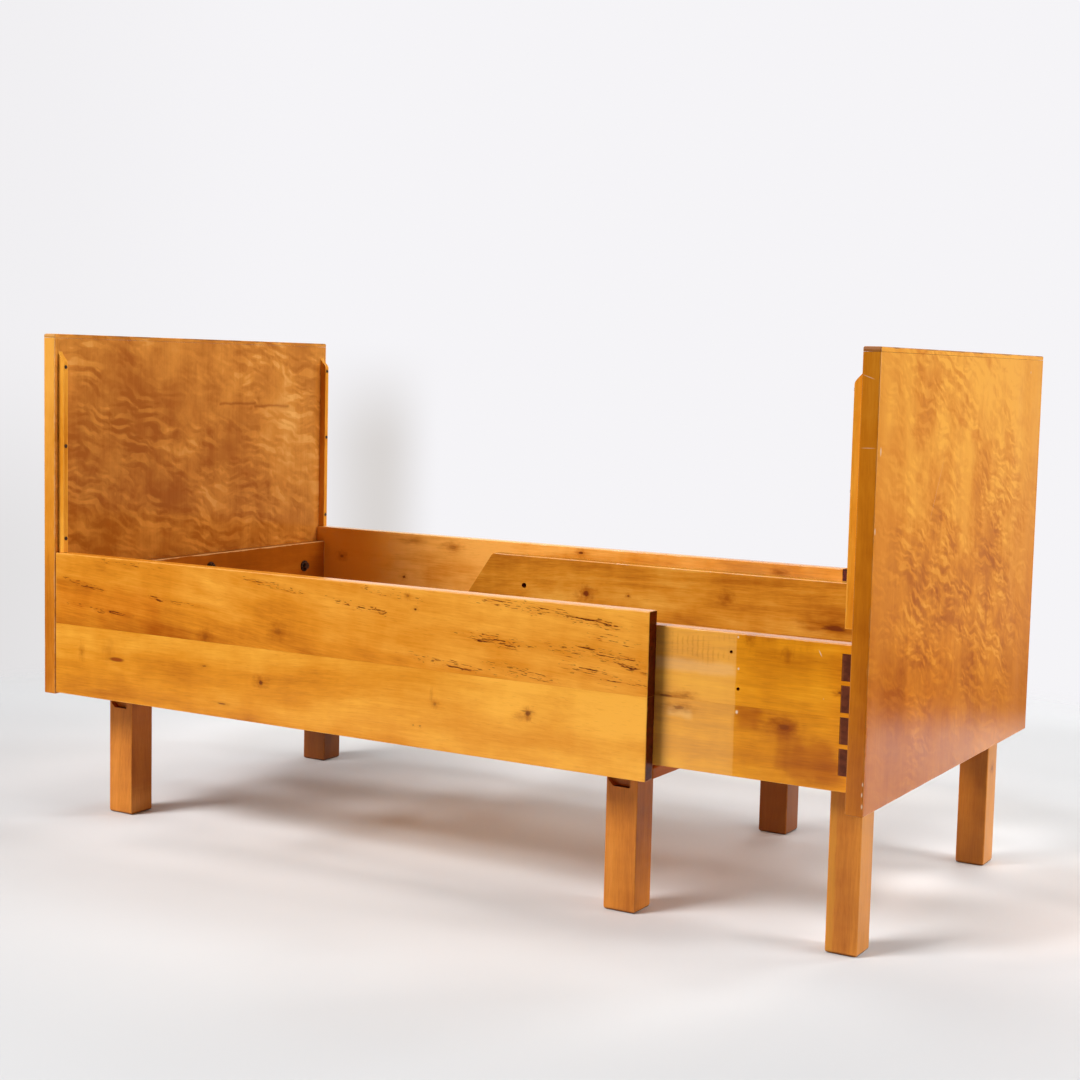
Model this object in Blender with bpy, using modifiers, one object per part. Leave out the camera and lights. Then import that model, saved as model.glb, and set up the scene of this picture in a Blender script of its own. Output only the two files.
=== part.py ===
"""A child's bed of varnished birch that draws out as the child grows.

The head frame stands on four legs and stays put. The foot frame, with the last two legs, slides
lengthwise inside it. Both ends carry a veneered panel with a solid lipping, and both frames carry
slats that lie between one another. The bed is drawn part of the way out.

Metres, +X from head to foot, +Y to the rear side, +Z up, floor at zero, origin under the middle.
"""

import math

import bmesh
import bpy
from mathutils import Matrix, Vector

# Air left between pieces that touch, and how far a cutter runs past the face that it opens
SEAT = 0.0003
CUT_PAST = 0.004

# End panels
PANEL_WIDTH = 0.685
PANEL_HEIGHT = 0.5635
PANEL_THICKNESS = 0.023
PANEL_DROP = 0.0025
LIPPING_THICKNESS = 0.006
PANEL_EASE = 0.0016
PANEL_CORNER_EASE = 0.0035

# Legs
LEG_HEIGHT = 0.197
LEG_SIZE = 0.047
FOOT_LEG_SIZE = 0.043
LEG_EASE = 0.0016
LEG_FOOT_EASE = 0.004
HEAD_LEG_REACH = 0.049
HEAD_LEG_INSET = 0.070
MIDDLE_LEG_REACH = 0.043
MIDDLE_LEG_INSET = 0.064
FOOT_LEG_INSET = 0.0625

# Screw pocket chopped into the outward face of the head frame's legs
POCKET_HEIGHT = 0.027
POCKET_LEDGE = 0.025
POCKET_OFFSET = 0.0105
POCKET_SLANT = 0.008
POCKET_DEPTH = 0.009

# Side rails
RAIL_THICKNESS = 0.021
RAIL_SETBACK = 0.0015
RAIL_EASE = 0.0012
OUTER_RAIL_LENGTH = 1.045
OUTER_RAIL_HEIGHT = 0.221
INNER_RAIL_LENGTH = 1.038
INNER_RAIL_HEIGHT = 0.1825
RUNNING_GAP = 0.001
DRAWN_OUT = 0.272

# Slanted free end of the inner rails, and the hole near it
END_SLANT = math.radians(34.4)
END_CORNER_RADIUS = 0.010
END_HOLE_DIAMETER = 0.0095
END_HOLE_FROM_CORNER = 0.066
END_HOLE_DROP = 0.052

# Two blind peg holes in the face of the inner front rail: distance from the panel, drop from the top
PEG_HOLE_DIAMETER = 0.0045
PEG_HOLE_DEPTH = 0.008
UPPER_PEG_HOLE = (0.167, 0.0244)
LOWER_PEG_HOLE = (0.156, 0.0704)

# Cross rails behind the panels
CROSS_RAIL_THICKNESS = 0.019
HEAD_CROSS_RAIL_DROP = 0.026

# Through joint of the foot cross rail with the inner rails
FINGER_COUNT = 4
FINGER_TOP_MARGIN = 0.012
FINGER_BOTTOM_MARGIN = 0.0205
RAIL_PIN_HEIGHT = 0.006
FINGER_FLARE = 0.0012

# Coach screws that hold each panel to its cross rail
COACH_SHANK_DIAMETER = 0.008
COACH_WASHER_DIAMETER = 0.020
COACH_WASHER_THICKNESS = 0.002
COACH_HEAD_ACROSS = 0.013
COACH_HEAD_HEIGHT = 0.0055
COACH_BITE = 0.012
COACH_SIDE_INSET = 0.084
COACH_SIDE_DROP = 0.042
COACH_MIDDLE_DROP = 0.024

# Laths on the inner faces of the panels, with their screws
LATH_PROUD = 0.0115
LATH_WIDTH = 0.009
LATH_INSET = 0.0075
LATH_TOP_DROP = 0.027
LATH_SHOULDER = 0.018
LATH_EASE = 0.0008
LATH_CLEARANCE = 0.002
LATH_SCREW_HEAD = 0.0062
LATH_SCREW_HEAD_HEIGHT = 0.0016
LATH_SCREW_SHANK = 0.0032
LATH_SCREW_BITE = 0.010
LATH_SCREW_TOP_MARGIN = 0.024
LATH_SCREW_BOTTOM_MARGIN = 0.022
LATH_SCREW_MIDDLE_RAISE = 0.011

# Bearers, risers and slats under the mattress
BEARER_WIDTH = 0.100
BEARER_THICKNESS = 0.015
BEARER_CLEARANCE = 0.00425
RISER_WIDTH = 0.026
RISER_SIDE_GAP = 0.0035
FOOT_BEARER_WIDTH = 0.080
BATTEN_WIDTH = 0.068
BATTEN_THICKNESS = 0.0175
BATTEN_FROM_TOE = 0.108
SLAT_THICKNESS = 0.012
SLAT_GAP = 0.028
OUTER_SLATS = 4
INNER_SLATS = 3
SLAT_END_GAP = 0.002
SLAT_END_SHORT = 0.008
BOARD_EASE = 0.0010

# Facets of round pieces and of rounded corners
TURNED_STEPS = 12
HOLE_SIDES = 12
ARC_STEPS = 5
SHOULDER_STEPS = 8

# Finishes: linear colour, roughness, metallic
AMBER_BIRCH = ((0.70, 0.30, 0.055), 0.30, 0.0)
FLAME_VENEER = ((0.52, 0.21, 0.035), 0.28, 0.0)
LIPPING_BIRCH = ((0.62, 0.27, 0.05), 0.30, 0.0)
LEG_BIRCH = ((0.52, 0.22, 0.045), 0.35, 0.0)
CROSS_BIRCH = ((0.42, 0.16, 0.03), 0.35, 0.0)
PLAIN_BIRCH = ((0.62, 0.42, 0.22), 0.60, 0.0)
DARK_STEEL = ((0.06, 0.05, 0.045), 0.50, 1.0)

# Heights above the floor
OUTER_BOTTOM = LEG_HEIGHT
OUTER_TOP = OUTER_BOTTOM + OUTER_RAIL_HEIGHT
PANEL_BOTTOM = OUTER_BOTTOM - PANEL_DROP
PANEL_TOP = PANEL_BOTTOM + PANEL_HEIGHT
BEARER_TOP = OUTER_BOTTOM + BEARER_THICKNESS
INNER_BOTTOM = BEARER_TOP + BEARER_CLEARANCE
INNER_TOP = INNER_BOTTOM + INNER_RAIL_HEIGHT
SLAT_BOTTOM = INNER_BOTTOM + BATTEN_THICKNESS + SEAT
SLAT_TOP = SLAT_BOTTOM + SLAT_THICKNESS

# Distances in from the panels' side edges
INNER_RAIL_INSET = RAIL_SETBACK + RAIL_THICKNESS + RUNNING_GAP
INSIDE_INSET = INNER_RAIL_INSET + RAIL_THICKNESS

# Places along the bed, measured in the two frames
BED_LENGTH = 2 * PANEL_THICKNESS + OUTER_RAIL_LENGTH + DRAWN_OUT
HEAD_ORIGIN = Vector((PANEL_THICKNESS - BED_LENGTH / 2, 0.0, 0.0))
FOOT_ORIGIN = Vector((BED_LENGTH / 2 - PANEL_THICKNESS, 0.0, 0.0))
CROSS_RAIL_FACE = SEAT + CROSS_RAIL_THICKNESS
TOE = -INNER_RAIL_LENGTH
END_CORNER = TOE + INNER_RAIL_HEIGHT * math.tan(END_SLANT)

FRONT = -1
REAR = 1
SIDE_NAMES = {FRONT: "front", REAR: "rear"}
TURN_UPRIGHT = (math.pi / 2, 0.0, 0.0)
TURN_CROSSWISE = (math.pi / 2, 0.0, math.pi / 2)


def clear_scene():
    """Remove every object of the open scene."""
    for old in list(bpy.data.objects):
        bpy.data.objects.remove(old, do_unlink=True)


def new_collection(name):
    """Return a new collection linked to the scene."""
    collection = bpy.data.collections.new(name)
    bpy.context.scene.collection.children.link(collection)
    return collection


def new_frame(name, collection, origin):
    """Return an empty that carries the pieces of one frame."""
    empty = bpy.data.objects.new(name, None)
    empty.location = origin
    collection.objects.link(empty)
    return empty


def new_material(name, finish):
    """Return a Principled material for one piece."""
    colour, roughness, metallic = finish
    material = bpy.data.materials.new(name)
    material.use_nodes = True
    shader = material.node_tree.nodes["Principled BSDF"]
    shader.inputs["Base Color"].default_value = (*colour, 1.0)
    shader.inputs["Roughness"].default_value = roughness
    shader.inputs["Metallic"].default_value = metallic
    material.diffuse_color = (*colour, 1.0)
    return material


class Workshop:
    """Places finished pieces in one frame and keeps their cutters apart."""

    def __init__(self, frame, pieces, cutters):
        self.frame = frame
        self.pieces = pieces
        self.cutters = cutters

    def piece(self, name, mesh, finish, location=(0, 0, 0), rotation=(0, 0, 0)):
        """Add one piece of the bed."""
        part = bpy.data.objects.new(name, mesh)
        mesh.materials.clear()
        mesh.materials.append(new_material(name, finish))
        part.parent = self.frame
        part.location = location
        part.rotation_euler = rotation
        self.pieces.objects.link(part)
        return part

    def cutter(self, name, mesh, location=(0, 0, 0), rotation=(0, 0, 0)):
        """Add one shape that is cut out of a piece or joined to it."""
        tool = bpy.data.objects.new(name, mesh)
        tool.parent = self.frame
        tool.location = location
        tool.rotation_euler = rotation
        tool.display_type = "WIRE"
        tool.hide_render = True
        self.cutters.objects.link(tool)
        return tool

    def board(self, name, low, high, finish, ease, eased=None, segments=2):
        """Add a board between two corners, with its chosen edges rounded."""
        low = Vector(low)
        high = Vector(high)
        mesh = box_mesh(name, high - low, eased)
        part = self.piece(name, mesh, finish, location=(low + high) / 2)
        ease_by_weight(part, ease, segments)
        return part


def box_mesh(name, size, eased):
    """Return a box mesh whose chosen edges carry a bevel weight."""
    shape = bmesh.new()
    bmesh.ops.create_cube(shape, size=1.0)
    bmesh.ops.scale(shape, vec=size, verts=shape.verts)
    weigh_edges(shape, eased)
    return finished_mesh(name, shape)


def finished_mesh(name, shape):
    """Turn a bmesh into a mesh and free it."""
    mesh = bpy.data.meshes.new(name)
    shape.to_mesh(mesh)
    shape.free()
    return mesh


def weigh_edges(shape, eased):
    """Give each sharp edge the bevel weight that the test returns for it, or else full weight."""
    weights = shape.edges.layers.float.new("bevel_weight_edge")
    for edge in shape.edges:
        sharp = edge.calc_face_angle(0.0) > math.radians(30)
        if sharp:
            edge[weights] = 1.0 if eased is None else float(eased(edge))


def off_face(direction):
    """Return a test for edges that don't lie on the face looking in a direction."""
    facing = Vector(direction)
    return lambda edge: all(face.normal.dot(facing) < 0.9 for face in edge.link_faces)


def off_faces(*directions):
    """Return a test for edges that lie on none of several faces."""
    tests = [off_face(direction) for direction in directions]
    return lambda edge: all(test(edge) for test in tests)


def on_faces(*directions):
    """Return a test for edges that lie on each of several faces."""
    return lambda edge: all(
        any(face.normal.dot(Vector(direction)) > 0.9 for face in edge.link_faces)
        for direction in directions
    )


def rounder(picked, share, eased):
    """Return a test that rounds picked edges fully and the other eased edges by a share."""
    return lambda edge: eased(edge) and (1.0 if any(test(edge) for test in picked) else share)


def ease_by_weight(part, ease, segments):
    """Round the weighted edges of a piece."""
    bevel = part.modifiers.new("ease", "BEVEL")
    bevel.limit_method = "WEIGHT"
    bevel.width = ease
    bevel.segments = segments


def boolean(part, tool, operation="DIFFERENCE"):
    """Cut a tool out of a piece, or join it on."""
    modifier = part.modifiers.new(tool.name, "BOOLEAN")
    modifier.operation = operation
    modifier.solver = "EXACT"
    modifier.object = tool


def outline_mesh(name, outlines, thickness, eased=None):
    """Return flat outlines filled and made thick, centred on their own plane."""
    curve = bpy.data.curves.new(name, "CURVE")
    curve.dimensions = "2D"
    curve.fill_mode = "BOTH"
    curve.extrude = thickness / 2
    for outline in outlines:
        spline = curve.splines.new("POLY")
        spline.points.add(len(outline) - 1)
        for point, place in zip(spline.points, outline):
            point.co = (place[0], place[1], 0.0, 1.0)
        spline.use_cyclic_u = True
    holder = bpy.data.objects.new(name, curve)
    bpy.context.scene.collection.objects.link(holder)
    depsgraph = bpy.context.evaluated_depsgraph_get()
    mesh = bpy.data.meshes.new_from_object(holder.evaluated_get(depsgraph))
    bpy.data.objects.remove(holder)
    bpy.data.curves.remove(curve)
    shape = bmesh.new()
    shape.from_mesh(mesh)
    bmesh.ops.remove_doubles(shape, verts=shape.verts, dist=0.00001)
    bmesh.ops.dissolve_limit(
        shape, angle_limit=math.radians(0.1), verts=shape.verts, edges=shape.edges
    )
    bmesh.ops.recalc_face_normals(shape, faces=shape.faces)
    weigh_edges(shape, eased)
    shape.to_mesh(mesh)
    shape.free()
    mesh.name = name
    return mesh


def holes_mesh(name, centres, diameter, depth, axis):
    """Return round cutters of one size along an axis, one at each centre."""
    shape = bmesh.new()
    turn = Vector((0, 0, 1)).rotation_difference(Vector(axis)).to_matrix().to_4x4()
    for centre in centres:
        bmesh.ops.create_cone(
            shape,
            cap_ends=True,
            segments=HOLE_SIDES,
            radius1=diameter / 2,
            radius2=diameter / 2,
            depth=depth,
            matrix=Matrix.Translation(centre) @ turn,
        )
    return finished_mesh(name, shape)


def profile_mesh(name, profile):
    """Return a chain of edges in the XZ plane, ready to be turned about Z."""
    shape = bmesh.new()
    points = [shape.verts.new((radius, 0.0, height)) for radius, height in profile]
    for upper, lower in zip(points, points[1:]):
        shape.edges.new((upper, lower))
    return finished_mesh(name, shape)


def turn_profile(part):
    """Turn a profile into a closed round piece."""
    screw = part.modifiers.new("turning", "SCREW")
    screw.axis = "Z"
    screw.steps = TURNED_STEPS
    screw.render_steps = TURNED_STEPS
    screw.use_merge_vertices = True
    screw.merge_threshold = 0.00001
    screw.use_smooth_shade = True


def from_edge(side, inset):
    """Return the Y of a place that lies an inset in from a panel's side edge."""
    return side * (PANEL_WIDTH / 2 - inset)


def across(side, inset, width):
    """Return the low and high Y of a piece of a given width that starts an inset in."""
    near = from_edge(side, inset)
    far = from_edge(side, inset + width)
    return min(near, far), max(near, far)


def fillet(before, corner, after, radius):
    """Return points of an arc that rounds the corner between two straight edges."""
    corner = Vector(corner)
    into = (corner - Vector(before)).normalized()
    out = (Vector(after) - corner).normalized()
    turn = math.acos(max(-1.0, min(1.0, into.dot(out))))
    reach = radius * math.tan(turn / 2)
    left_hand = into.x * out.y - into.y * out.x > 0
    square = Vector((-into.y, into.x)) if left_hand else Vector((into.y, -into.x))
    centre = corner - into * reach + square * radius
    points = []
    for step in range(ARC_STEPS + 1):
        angle = turn * step / ARC_STEPS
        points.append(centre - square * radius * math.cos(angle) + into * radius * math.sin(angle))
    return points


def make_panel(shop, end, outward):
    """Make one end panel: the veneered board and its three solid lippings."""
    inner = 0.0
    outer = outward * PANEL_THICKNESS
    low_x, high_x = min(inner, outer), max(inner, outer)
    core_top = PANEL_TOP - LIPPING_THICKNESS - SEAT
    core_y = from_edge(REAR, LIPPING_THICKNESS + SEAT)
    panel = shop.board(
        f"{end}_panel",
        (low_x, -core_y, PANEL_BOTTOM),
        (high_x, core_y, core_top),
        FLAME_VENEER,
        PANEL_EASE,
        off_faces((0, 0, 1), (0, 1, 0), (0, -1, 0)),
    )
    for side in (FRONT, REAR):
        low_y, high_y = across(side, 0.0, LIPPING_THICKNESS)
        shop.board(
            f"{end}_panel_{SIDE_NAMES[side]}_lipping",
            (low_x, low_y, PANEL_BOTTOM),
            (high_x, high_y, core_top),
            LIPPING_BIRCH,
            PANEL_EASE,
            off_faces((0, 0, 1), (0, -side, 0)),
        )
    corners = [on_faces((0, 0, 1), (0, side, 0)) for side in (FRONT, REAR)]
    shop.board(
        f"{end}_panel_top_lipping",
        (low_x, from_edge(FRONT, 0.0), core_top + SEAT),
        (high_x, from_edge(REAR, 0.0), PANEL_TOP),
        LIPPING_BIRCH,
        PANEL_CORNER_EASE,
        rounder(corners, PANEL_EASE / PANEL_CORNER_EASE, off_face((0, 0, -1))),
    )
    return panel


def make_coach_screws(shop, end, panel, cross_rail, inward, top):
    """Hold a panel to its cross rail with three coach screws from inside."""
    shank = CROSS_RAIL_FACE + COACH_BITE
    places = (
        ("front", from_edge(FRONT, COACH_SIDE_INSET), top - COACH_SIDE_DROP),
        ("middle", 0.0, top - COACH_MIDDLE_DROP),
        ("rear", from_edge(REAR, COACH_SIDE_INSET), top - COACH_SIDE_DROP),
    )
    seat = inward * (CROSS_RAIL_FACE + SEAT)
    profile = (
        (0.0, COACH_WASHER_THICKNESS),
        (COACH_WASHER_DIAMETER / 2, COACH_WASHER_THICKNESS),
        (COACH_WASHER_DIAMETER / 2, 0.0),
        (COACH_SHANK_DIAMETER / 2, 0.0),
        (COACH_SHANK_DIAMETER / 2, COACH_SHANK_DIAMETER / 2 - shank),
        (0.0, -shank),
    )
    rotation = (0.0, inward * math.pi / 2, 0.0)
    for place, y, z in places:
        name = f"{end}_coach_screw_{place}"
        screw = shop.piece(name, profile_mesh(name, profile), DARK_STEEL, (seat, y, z), rotation)
        turn_profile(screw)
        head = bmesh.new()
        bmesh.ops.create_cone(
            head,
            cap_ends=True,
            segments=6,
            radius1=COACH_HEAD_ACROSS / 2,
            radius2=COACH_HEAD_ACROSS / 2,
            depth=COACH_HEAD_HEIGHT + COACH_WASHER_THICKNESS / 2,
        )
        middle = (COACH_WASHER_THICKNESS * 1.5 + COACH_HEAD_HEIGHT) / 2
        hexagon = shop.cutter(
            f"{name}_hexagon", finished_mesh(name, head), (seat + inward * middle, y, z), rotation
        )
        boolean(screw, hexagon, "UNION")
    depth = shank + CUT_PAST
    centre_x = inward * (CROSS_RAIL_FACE + CUT_PAST - SEAT - depth / 2)
    centres = [(centre_x, y, z) for place, y, z in places]
    holes = shop.cutter(
        f"{end}_coach_holes",
        holes_mesh("coach_holes", centres, COACH_SHANK_DIAMETER + 2 * SEAT, depth, (1, 0, 0)),
    )
    boolean(panel, holes)
    boolean(cross_rail, holes)


def lath_outline(inward, bottom, top):
    """Return the side view of a lath, with an S-shaped shoulder at its top."""
    points = [(inward * SEAT, bottom), (inward * (SEAT + LATH_PROUD), bottom)]
    for step in range(SHOULDER_STEPS + 1):
        share = step / SHOULDER_STEPS
        reach = LATH_PROUD * (1 + math.cos(math.pi * share)) / 2
        points.append((inward * (SEAT + reach), top - LATH_SHOULDER * (1 - share)))
    return points


def make_laths(shop, end, panel, inward, bottom):
    """Screw two upright laths to the inner face of a panel."""
    top = PANEL_TOP - LATH_TOP_DROP
    low = bottom + LATH_SCREW_BOTTOM_MARGIN
    high = top - LATH_SCREW_TOP_MARGIN
    heights = (low, (low + high) / 2 + LATH_SCREW_MIDDLE_RAISE, high)
    shank = SEAT + LATH_PROUD + LATH_SCREW_BITE
    head = LATH_SCREW_HEAD / 2
    profile = (
        (0.0, LATH_SCREW_HEAD_HEIGHT),
        (head * 0.7, LATH_SCREW_HEAD_HEIGHT * 0.8),
        (head, LATH_SCREW_HEAD_HEIGHT * 0.3),
        (head, 0.0),
        (LATH_SCREW_SHANK / 2, 0.0),
        (LATH_SCREW_SHANK / 2, LATH_SCREW_SHANK - shank),
        (0.0, -shank),
    )
    seat = inward * (SEAT + LATH_PROUD + SEAT)
    depth = shank + CUT_PAST
    centre_x = seat - inward * (shank + SEAT - depth / 2)
    for side in (FRONT, REAR):
        name = f"{end}_{SIDE_NAMES[side]}_lath"
        y = from_edge(side, LATH_INSET + LATH_WIDTH / 2)
        mesh = outline_mesh(name, [lath_outline(inward, bottom, top)], LATH_WIDTH)
        lath = shop.piece(name, mesh, LIPPING_BIRCH, (0.0, y, 0.0), TURN_UPRIGHT)
        ease_by_weight(lath, LATH_EASE, 1)
        holes = shop.cutter(
            f"{name}_holes",
            holes_mesh(
                f"{name}_holes",
                [(centre_x, y, z) for z in heights],
                LATH_SCREW_SHANK + 2 * SEAT,
                depth,
                (1, 0, 0),
            ),
        )
        boolean(lath, holes)
        boolean(panel, holes)
        for number, z in enumerate(heights, start=1):
            screw_name = f"{name}_screw_{number}"
            screw = shop.piece(
                screw_name,
                profile_mesh(screw_name, profile),
                DARK_STEEL,
                (seat, y, z),
                (0.0, inward * math.pi / 2, 0.0),
            )
            turn_profile(screw)


def make_outer_rails(shop):
    """Make the two outer side rails, each glued up from two boards of equal height."""
    middle = (OUTER_BOTTOM + OUTER_TOP) / 2
    for side in (FRONT, REAR):
        low_y, high_y = across(side, RAIL_SETBACK, RAIL_THICKNESS)
        name = f"outer_{SIDE_NAMES[side]}_rail"
        shop.board(
            f"{name}_upper_board",
            (SEAT, low_y, middle + SEAT / 2),
            (OUTER_RAIL_LENGTH, high_y, OUTER_TOP),
            AMBER_BIRCH,
            RAIL_EASE,
            off_face((0, 0, -1)),
        )
        shop.board(
            f"{name}_lower_board",
            (SEAT, low_y, OUTER_BOTTOM),
            (OUTER_RAIL_LENGTH, high_y, middle - SEAT / 2),
            AMBER_BIRCH,
            RAIL_EASE,
            off_face((0, 0, 1)),
        )


def make_head_cross_rail(shop):
    """Make the rail that ties the outer rails together behind the head panel."""
    reach = from_edge(REAR, RAIL_SETBACK + RAIL_THICKNESS + SEAT)
    return shop.board(
        "head_cross_rail",
        (SEAT, -reach, OUTER_BOTTOM),
        (CROSS_RAIL_FACE, reach, OUTER_TOP - HEAD_CROSS_RAIL_DROP),
        CROSS_BIRCH,
        RAIL_EASE,
    )


def make_leg(shop, name, low_x, side, inset, size, top, pocket):
    """Make one square leg, with a screw pocket in its outward face where it has one."""
    low_y, high_y = across(side, inset, size)
    leg = shop.board(
        name,
        (low_x, low_y, 0.0),
        (low_x + size, high_y, top - SEAT),
        LEG_BIRCH,
        LEG_FOOT_EASE,
        rounder([on_faces((0, 0, -1))], LEG_EASE / LEG_FOOT_EASE, off_face((0, 0, 1))),
    )
    if pocket:
        ledge = top - POCKET_HEIGHT
        left = low_x + POCKET_OFFSET
        right = left + POCKET_LEDGE
        outline = (
            (left, ledge),
            (right, ledge),
            (right, top + CUT_PAST),
            (left - POCKET_SLANT, top + CUT_PAST),
            (left - POCKET_SLANT, ledge + POCKET_SLANT),
        )
        thickness = POCKET_DEPTH + CUT_PAST
        mesh = outline_mesh(f"{name}_pocket", [outline], thickness)
        y = from_edge(side, inset + POCKET_DEPTH - thickness / 2)
        boolean(leg, shop.cutter(f"{name}_pocket", mesh, (0.0, y, 0.0), TURN_UPRIGHT))


def make_head_base(shop):
    """Make the bearers, risers and legs under the head frame."""
    rail_inside = from_edge(REAR, RAIL_SETBACK + RAIL_THICKNESS + SEAT)
    riser_reach = from_edge(REAR, INSIDE_INSET + RISER_SIDE_GAP)
    head_start = CROSS_RAIL_FACE + SEAT
    end_start = OUTER_RAIL_LENGTH - BEARER_WIDTH
    for name, start in (("head", head_start), ("end", end_start)):
        shop.board(
            f"{name}_bearer",
            (start, -rail_inside, OUTER_BOTTOM),
            (start + BEARER_WIDTH, rail_inside, BEARER_TOP),
            CROSS_BIRCH,
            BOARD_EASE,
            segments=1,
        )
        shop.board(
            f"{name}_slat_riser",
            (start, -riser_reach, BEARER_TOP + SEAT),
            (start + RISER_WIDTH, riser_reach, SLAT_BOTTOM - SEAT),
            PLAIN_BIRCH,
            BOARD_EASE,
            segments=1,
        )
    middle_leg = OUTER_RAIL_LENGTH - MIDDLE_LEG_REACH - LEG_SIZE
    pairs = (
        ("head", HEAD_LEG_REACH, HEAD_LEG_INSET),
        ("middle", middle_leg, MIDDLE_LEG_INSET),
    )
    for pair, low_x, inset in pairs:
        for side in (FRONT, REAR):
            name = f"{pair}_{SIDE_NAMES[side]}_leg"
            make_leg(shop, name, low_x, side, inset, LEG_SIZE, OUTER_BOTTOM, True)


def slat_places():
    """Return the low and high Y of every slat, in order from the front."""
    field = 2 * from_edge(REAR, INSIDE_INSET + RISER_SIDE_GAP)
    count = OUTER_SLATS + INNER_SLATS
    width = (field - (count - 1) * SLAT_GAP) / count
    start = -field / 2
    return [
        (start + number * (width + SLAT_GAP), start + number * (width + SLAT_GAP) + width)
        for number in range(count)
    ]


def make_slats(shop, name, places, low_x, high_x):
    """Lay one frame's slats lengthwise."""
    for number, (low_y, high_y) in enumerate(places, start=1):
        shop.board(
            f"{name}_slat_{number}",
            (low_x, low_y, SLAT_BOTTOM),
            (high_x, high_y, SLAT_TOP),
            PLAIN_BIRCH,
            BOARD_EASE,
            segments=1,
        )


def finger_heights():
    """Return the low and high Z of each finger of the foot cross rail, from the bottom up."""
    room = INNER_RAIL_HEIGHT - FINGER_TOP_MARGIN - FINGER_BOTTOM_MARGIN
    height = (room - (FINGER_COUNT - 1) * RAIL_PIN_HEIGHT) / FINGER_COUNT
    start = INNER_BOTTOM + FINGER_BOTTOM_MARGIN
    return [
        (start + number * (height + RAIL_PIN_HEIGHT), start + number * (height + RAIL_PIN_HEIGHT) + height)
        for number in range(FINGER_COUNT)
    ]


def comb_outline():
    """Return the foot cross rail's outline: a board with dovetail fingers at both ends."""
    root = from_edge(REAR, INSIDE_INSET + SEAT)
    tip = from_edge(REAR, INNER_RAIL_INSET)
    rear = [(root, INNER_BOTTOM)]
    for low, high in finger_heights():
        rear += [
            (root, low + FINGER_FLARE),
            (tip, low),
            (tip, high),
            (root, high - FINGER_FLARE),
        ]
    rear.append((root, INNER_TOP))
    front = [(-y, z) for y, z in reversed(rear)]
    return rear + front


def socket_outlines(side):
    """Return the outlines of the sockets that one inner rail needs for the fingers."""
    slope = FINGER_FLARE / (RAIL_THICKNESS + SEAT)
    past = CUT_PAST * slope
    flare = FINGER_FLARE + past
    outlines = []
    for low, high in finger_heights():
        tip = from_edge(side, INNER_RAIL_INSET - CUT_PAST)
        root = from_edge(side, INSIDE_INSET + CUT_PAST)
        outlines.append(
            (
                (root, low + flare - SEAT),
                (tip, low - past - SEAT),
                (tip, high + past + SEAT),
                (root, high - flare + SEAT),
            )
        )
    return outlines


def make_inner_rails(shop):
    """Make the two rails that slide inside the outer ones, each of two boards with a slanted free end."""
    middle = (INNER_BOTTOM + INNER_TOP) / 2
    slant = math.tan(END_SLANT)
    end = -SEAT
    at_glue = TOE + (middle - INNER_BOTTOM) * slant
    corner = (END_CORNER, INNER_TOP)
    upper = [
        (at_glue + SEAT / 2 * slant, middle + SEAT / 2),
        (end, middle + SEAT / 2),
        (end, INNER_TOP),
    ]
    upper += fillet(upper[2], corner, upper[0], END_CORNER_RADIUS)
    lower = [
        (TOE, INNER_BOTTOM),
        (end, INNER_BOTTOM),
        (end, middle - SEAT / 2),
        (at_glue - SEAT / 2 * slant, middle - SEAT / 2),
    ]
    socket_length = CROSS_RAIL_FACE + SEAT + CUT_PAST
    socket_x = CUT_PAST - socket_length / 2
    hole = (END_CORNER + END_HOLE_FROM_CORNER, INNER_TOP - END_HOLE_DROP)
    for side in (FRONT, REAR):
        name = f"inner_{SIDE_NAMES[side]}_rail"
        y = from_edge(side, INNER_RAIL_INSET + RAIL_THICKNESS / 2)
        sockets = shop.cutter(
            f"{name}_sockets",
            outline_mesh(f"{name}_sockets", socket_outlines(side), socket_length),
            (socket_x, 0.0, 0.0),
            TURN_CROSSWISE,
        )
        end_hole = shop.cutter(
            f"{name}_end_hole",
            holes_mesh(
                f"{name}_end_hole",
                [(hole[0], y, hole[1])],
                END_HOLE_DIAMETER,
                RAIL_THICKNESS + 2 * CUT_PAST,
                (0, 1, 0),
            ),
        )
        boards = []
        for board, outline, glued in (("upper", upper, -1), ("lower", lower, 1)):
            mesh = outline_mesh(f"{name}_{board}_board", [outline], RAIL_THICKNESS, off_face((0, glued, 0)))
            part = shop.piece(f"{name}_{board}_board", mesh, AMBER_BIRCH, (0.0, y, 0.0), TURN_UPRIGHT)
            ease_by_weight(part, RAIL_EASE, 2)
            boolean(part, sockets)
            boolean(part, end_hole)
            boards.append(part)
        if side == FRONT:
            drill_peg_holes(shop, boards)


def drill_peg_holes(shop, boards):
    """Drill the two blind peg holes in the face of the inner front rail."""
    depth = PEG_HOLE_DEPTH + CUT_PAST
    y = from_edge(FRONT, INNER_RAIL_INSET + PEG_HOLE_DEPTH - depth / 2)
    centres = [(-reach, y, INNER_TOP - drop) for reach, drop in (UPPER_PEG_HOLE, LOWER_PEG_HOLE)]
    holes = shop.cutter(
        "inner_front_rail_peg_holes",
        holes_mesh("inner_front_rail_peg_holes", centres, PEG_HOLE_DIAMETER, depth, (0, 1, 0)),
    )
    for board in boards:
        boolean(board, holes)


def make_foot_cross_rail(shop):
    """Make the rail behind the foot panel, whose fingers come through the inner rails."""
    mesh = outline_mesh("foot_cross_rail", [comb_outline()], CROSS_RAIL_THICKNESS, lambda edge: False)
    place = (-(SEAT + CROSS_RAIL_THICKNESS / 2), 0.0, 0.0)
    return shop.piece("foot_cross_rail", mesh, CROSS_BIRCH, place, TURN_CROSSWISE)


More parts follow.
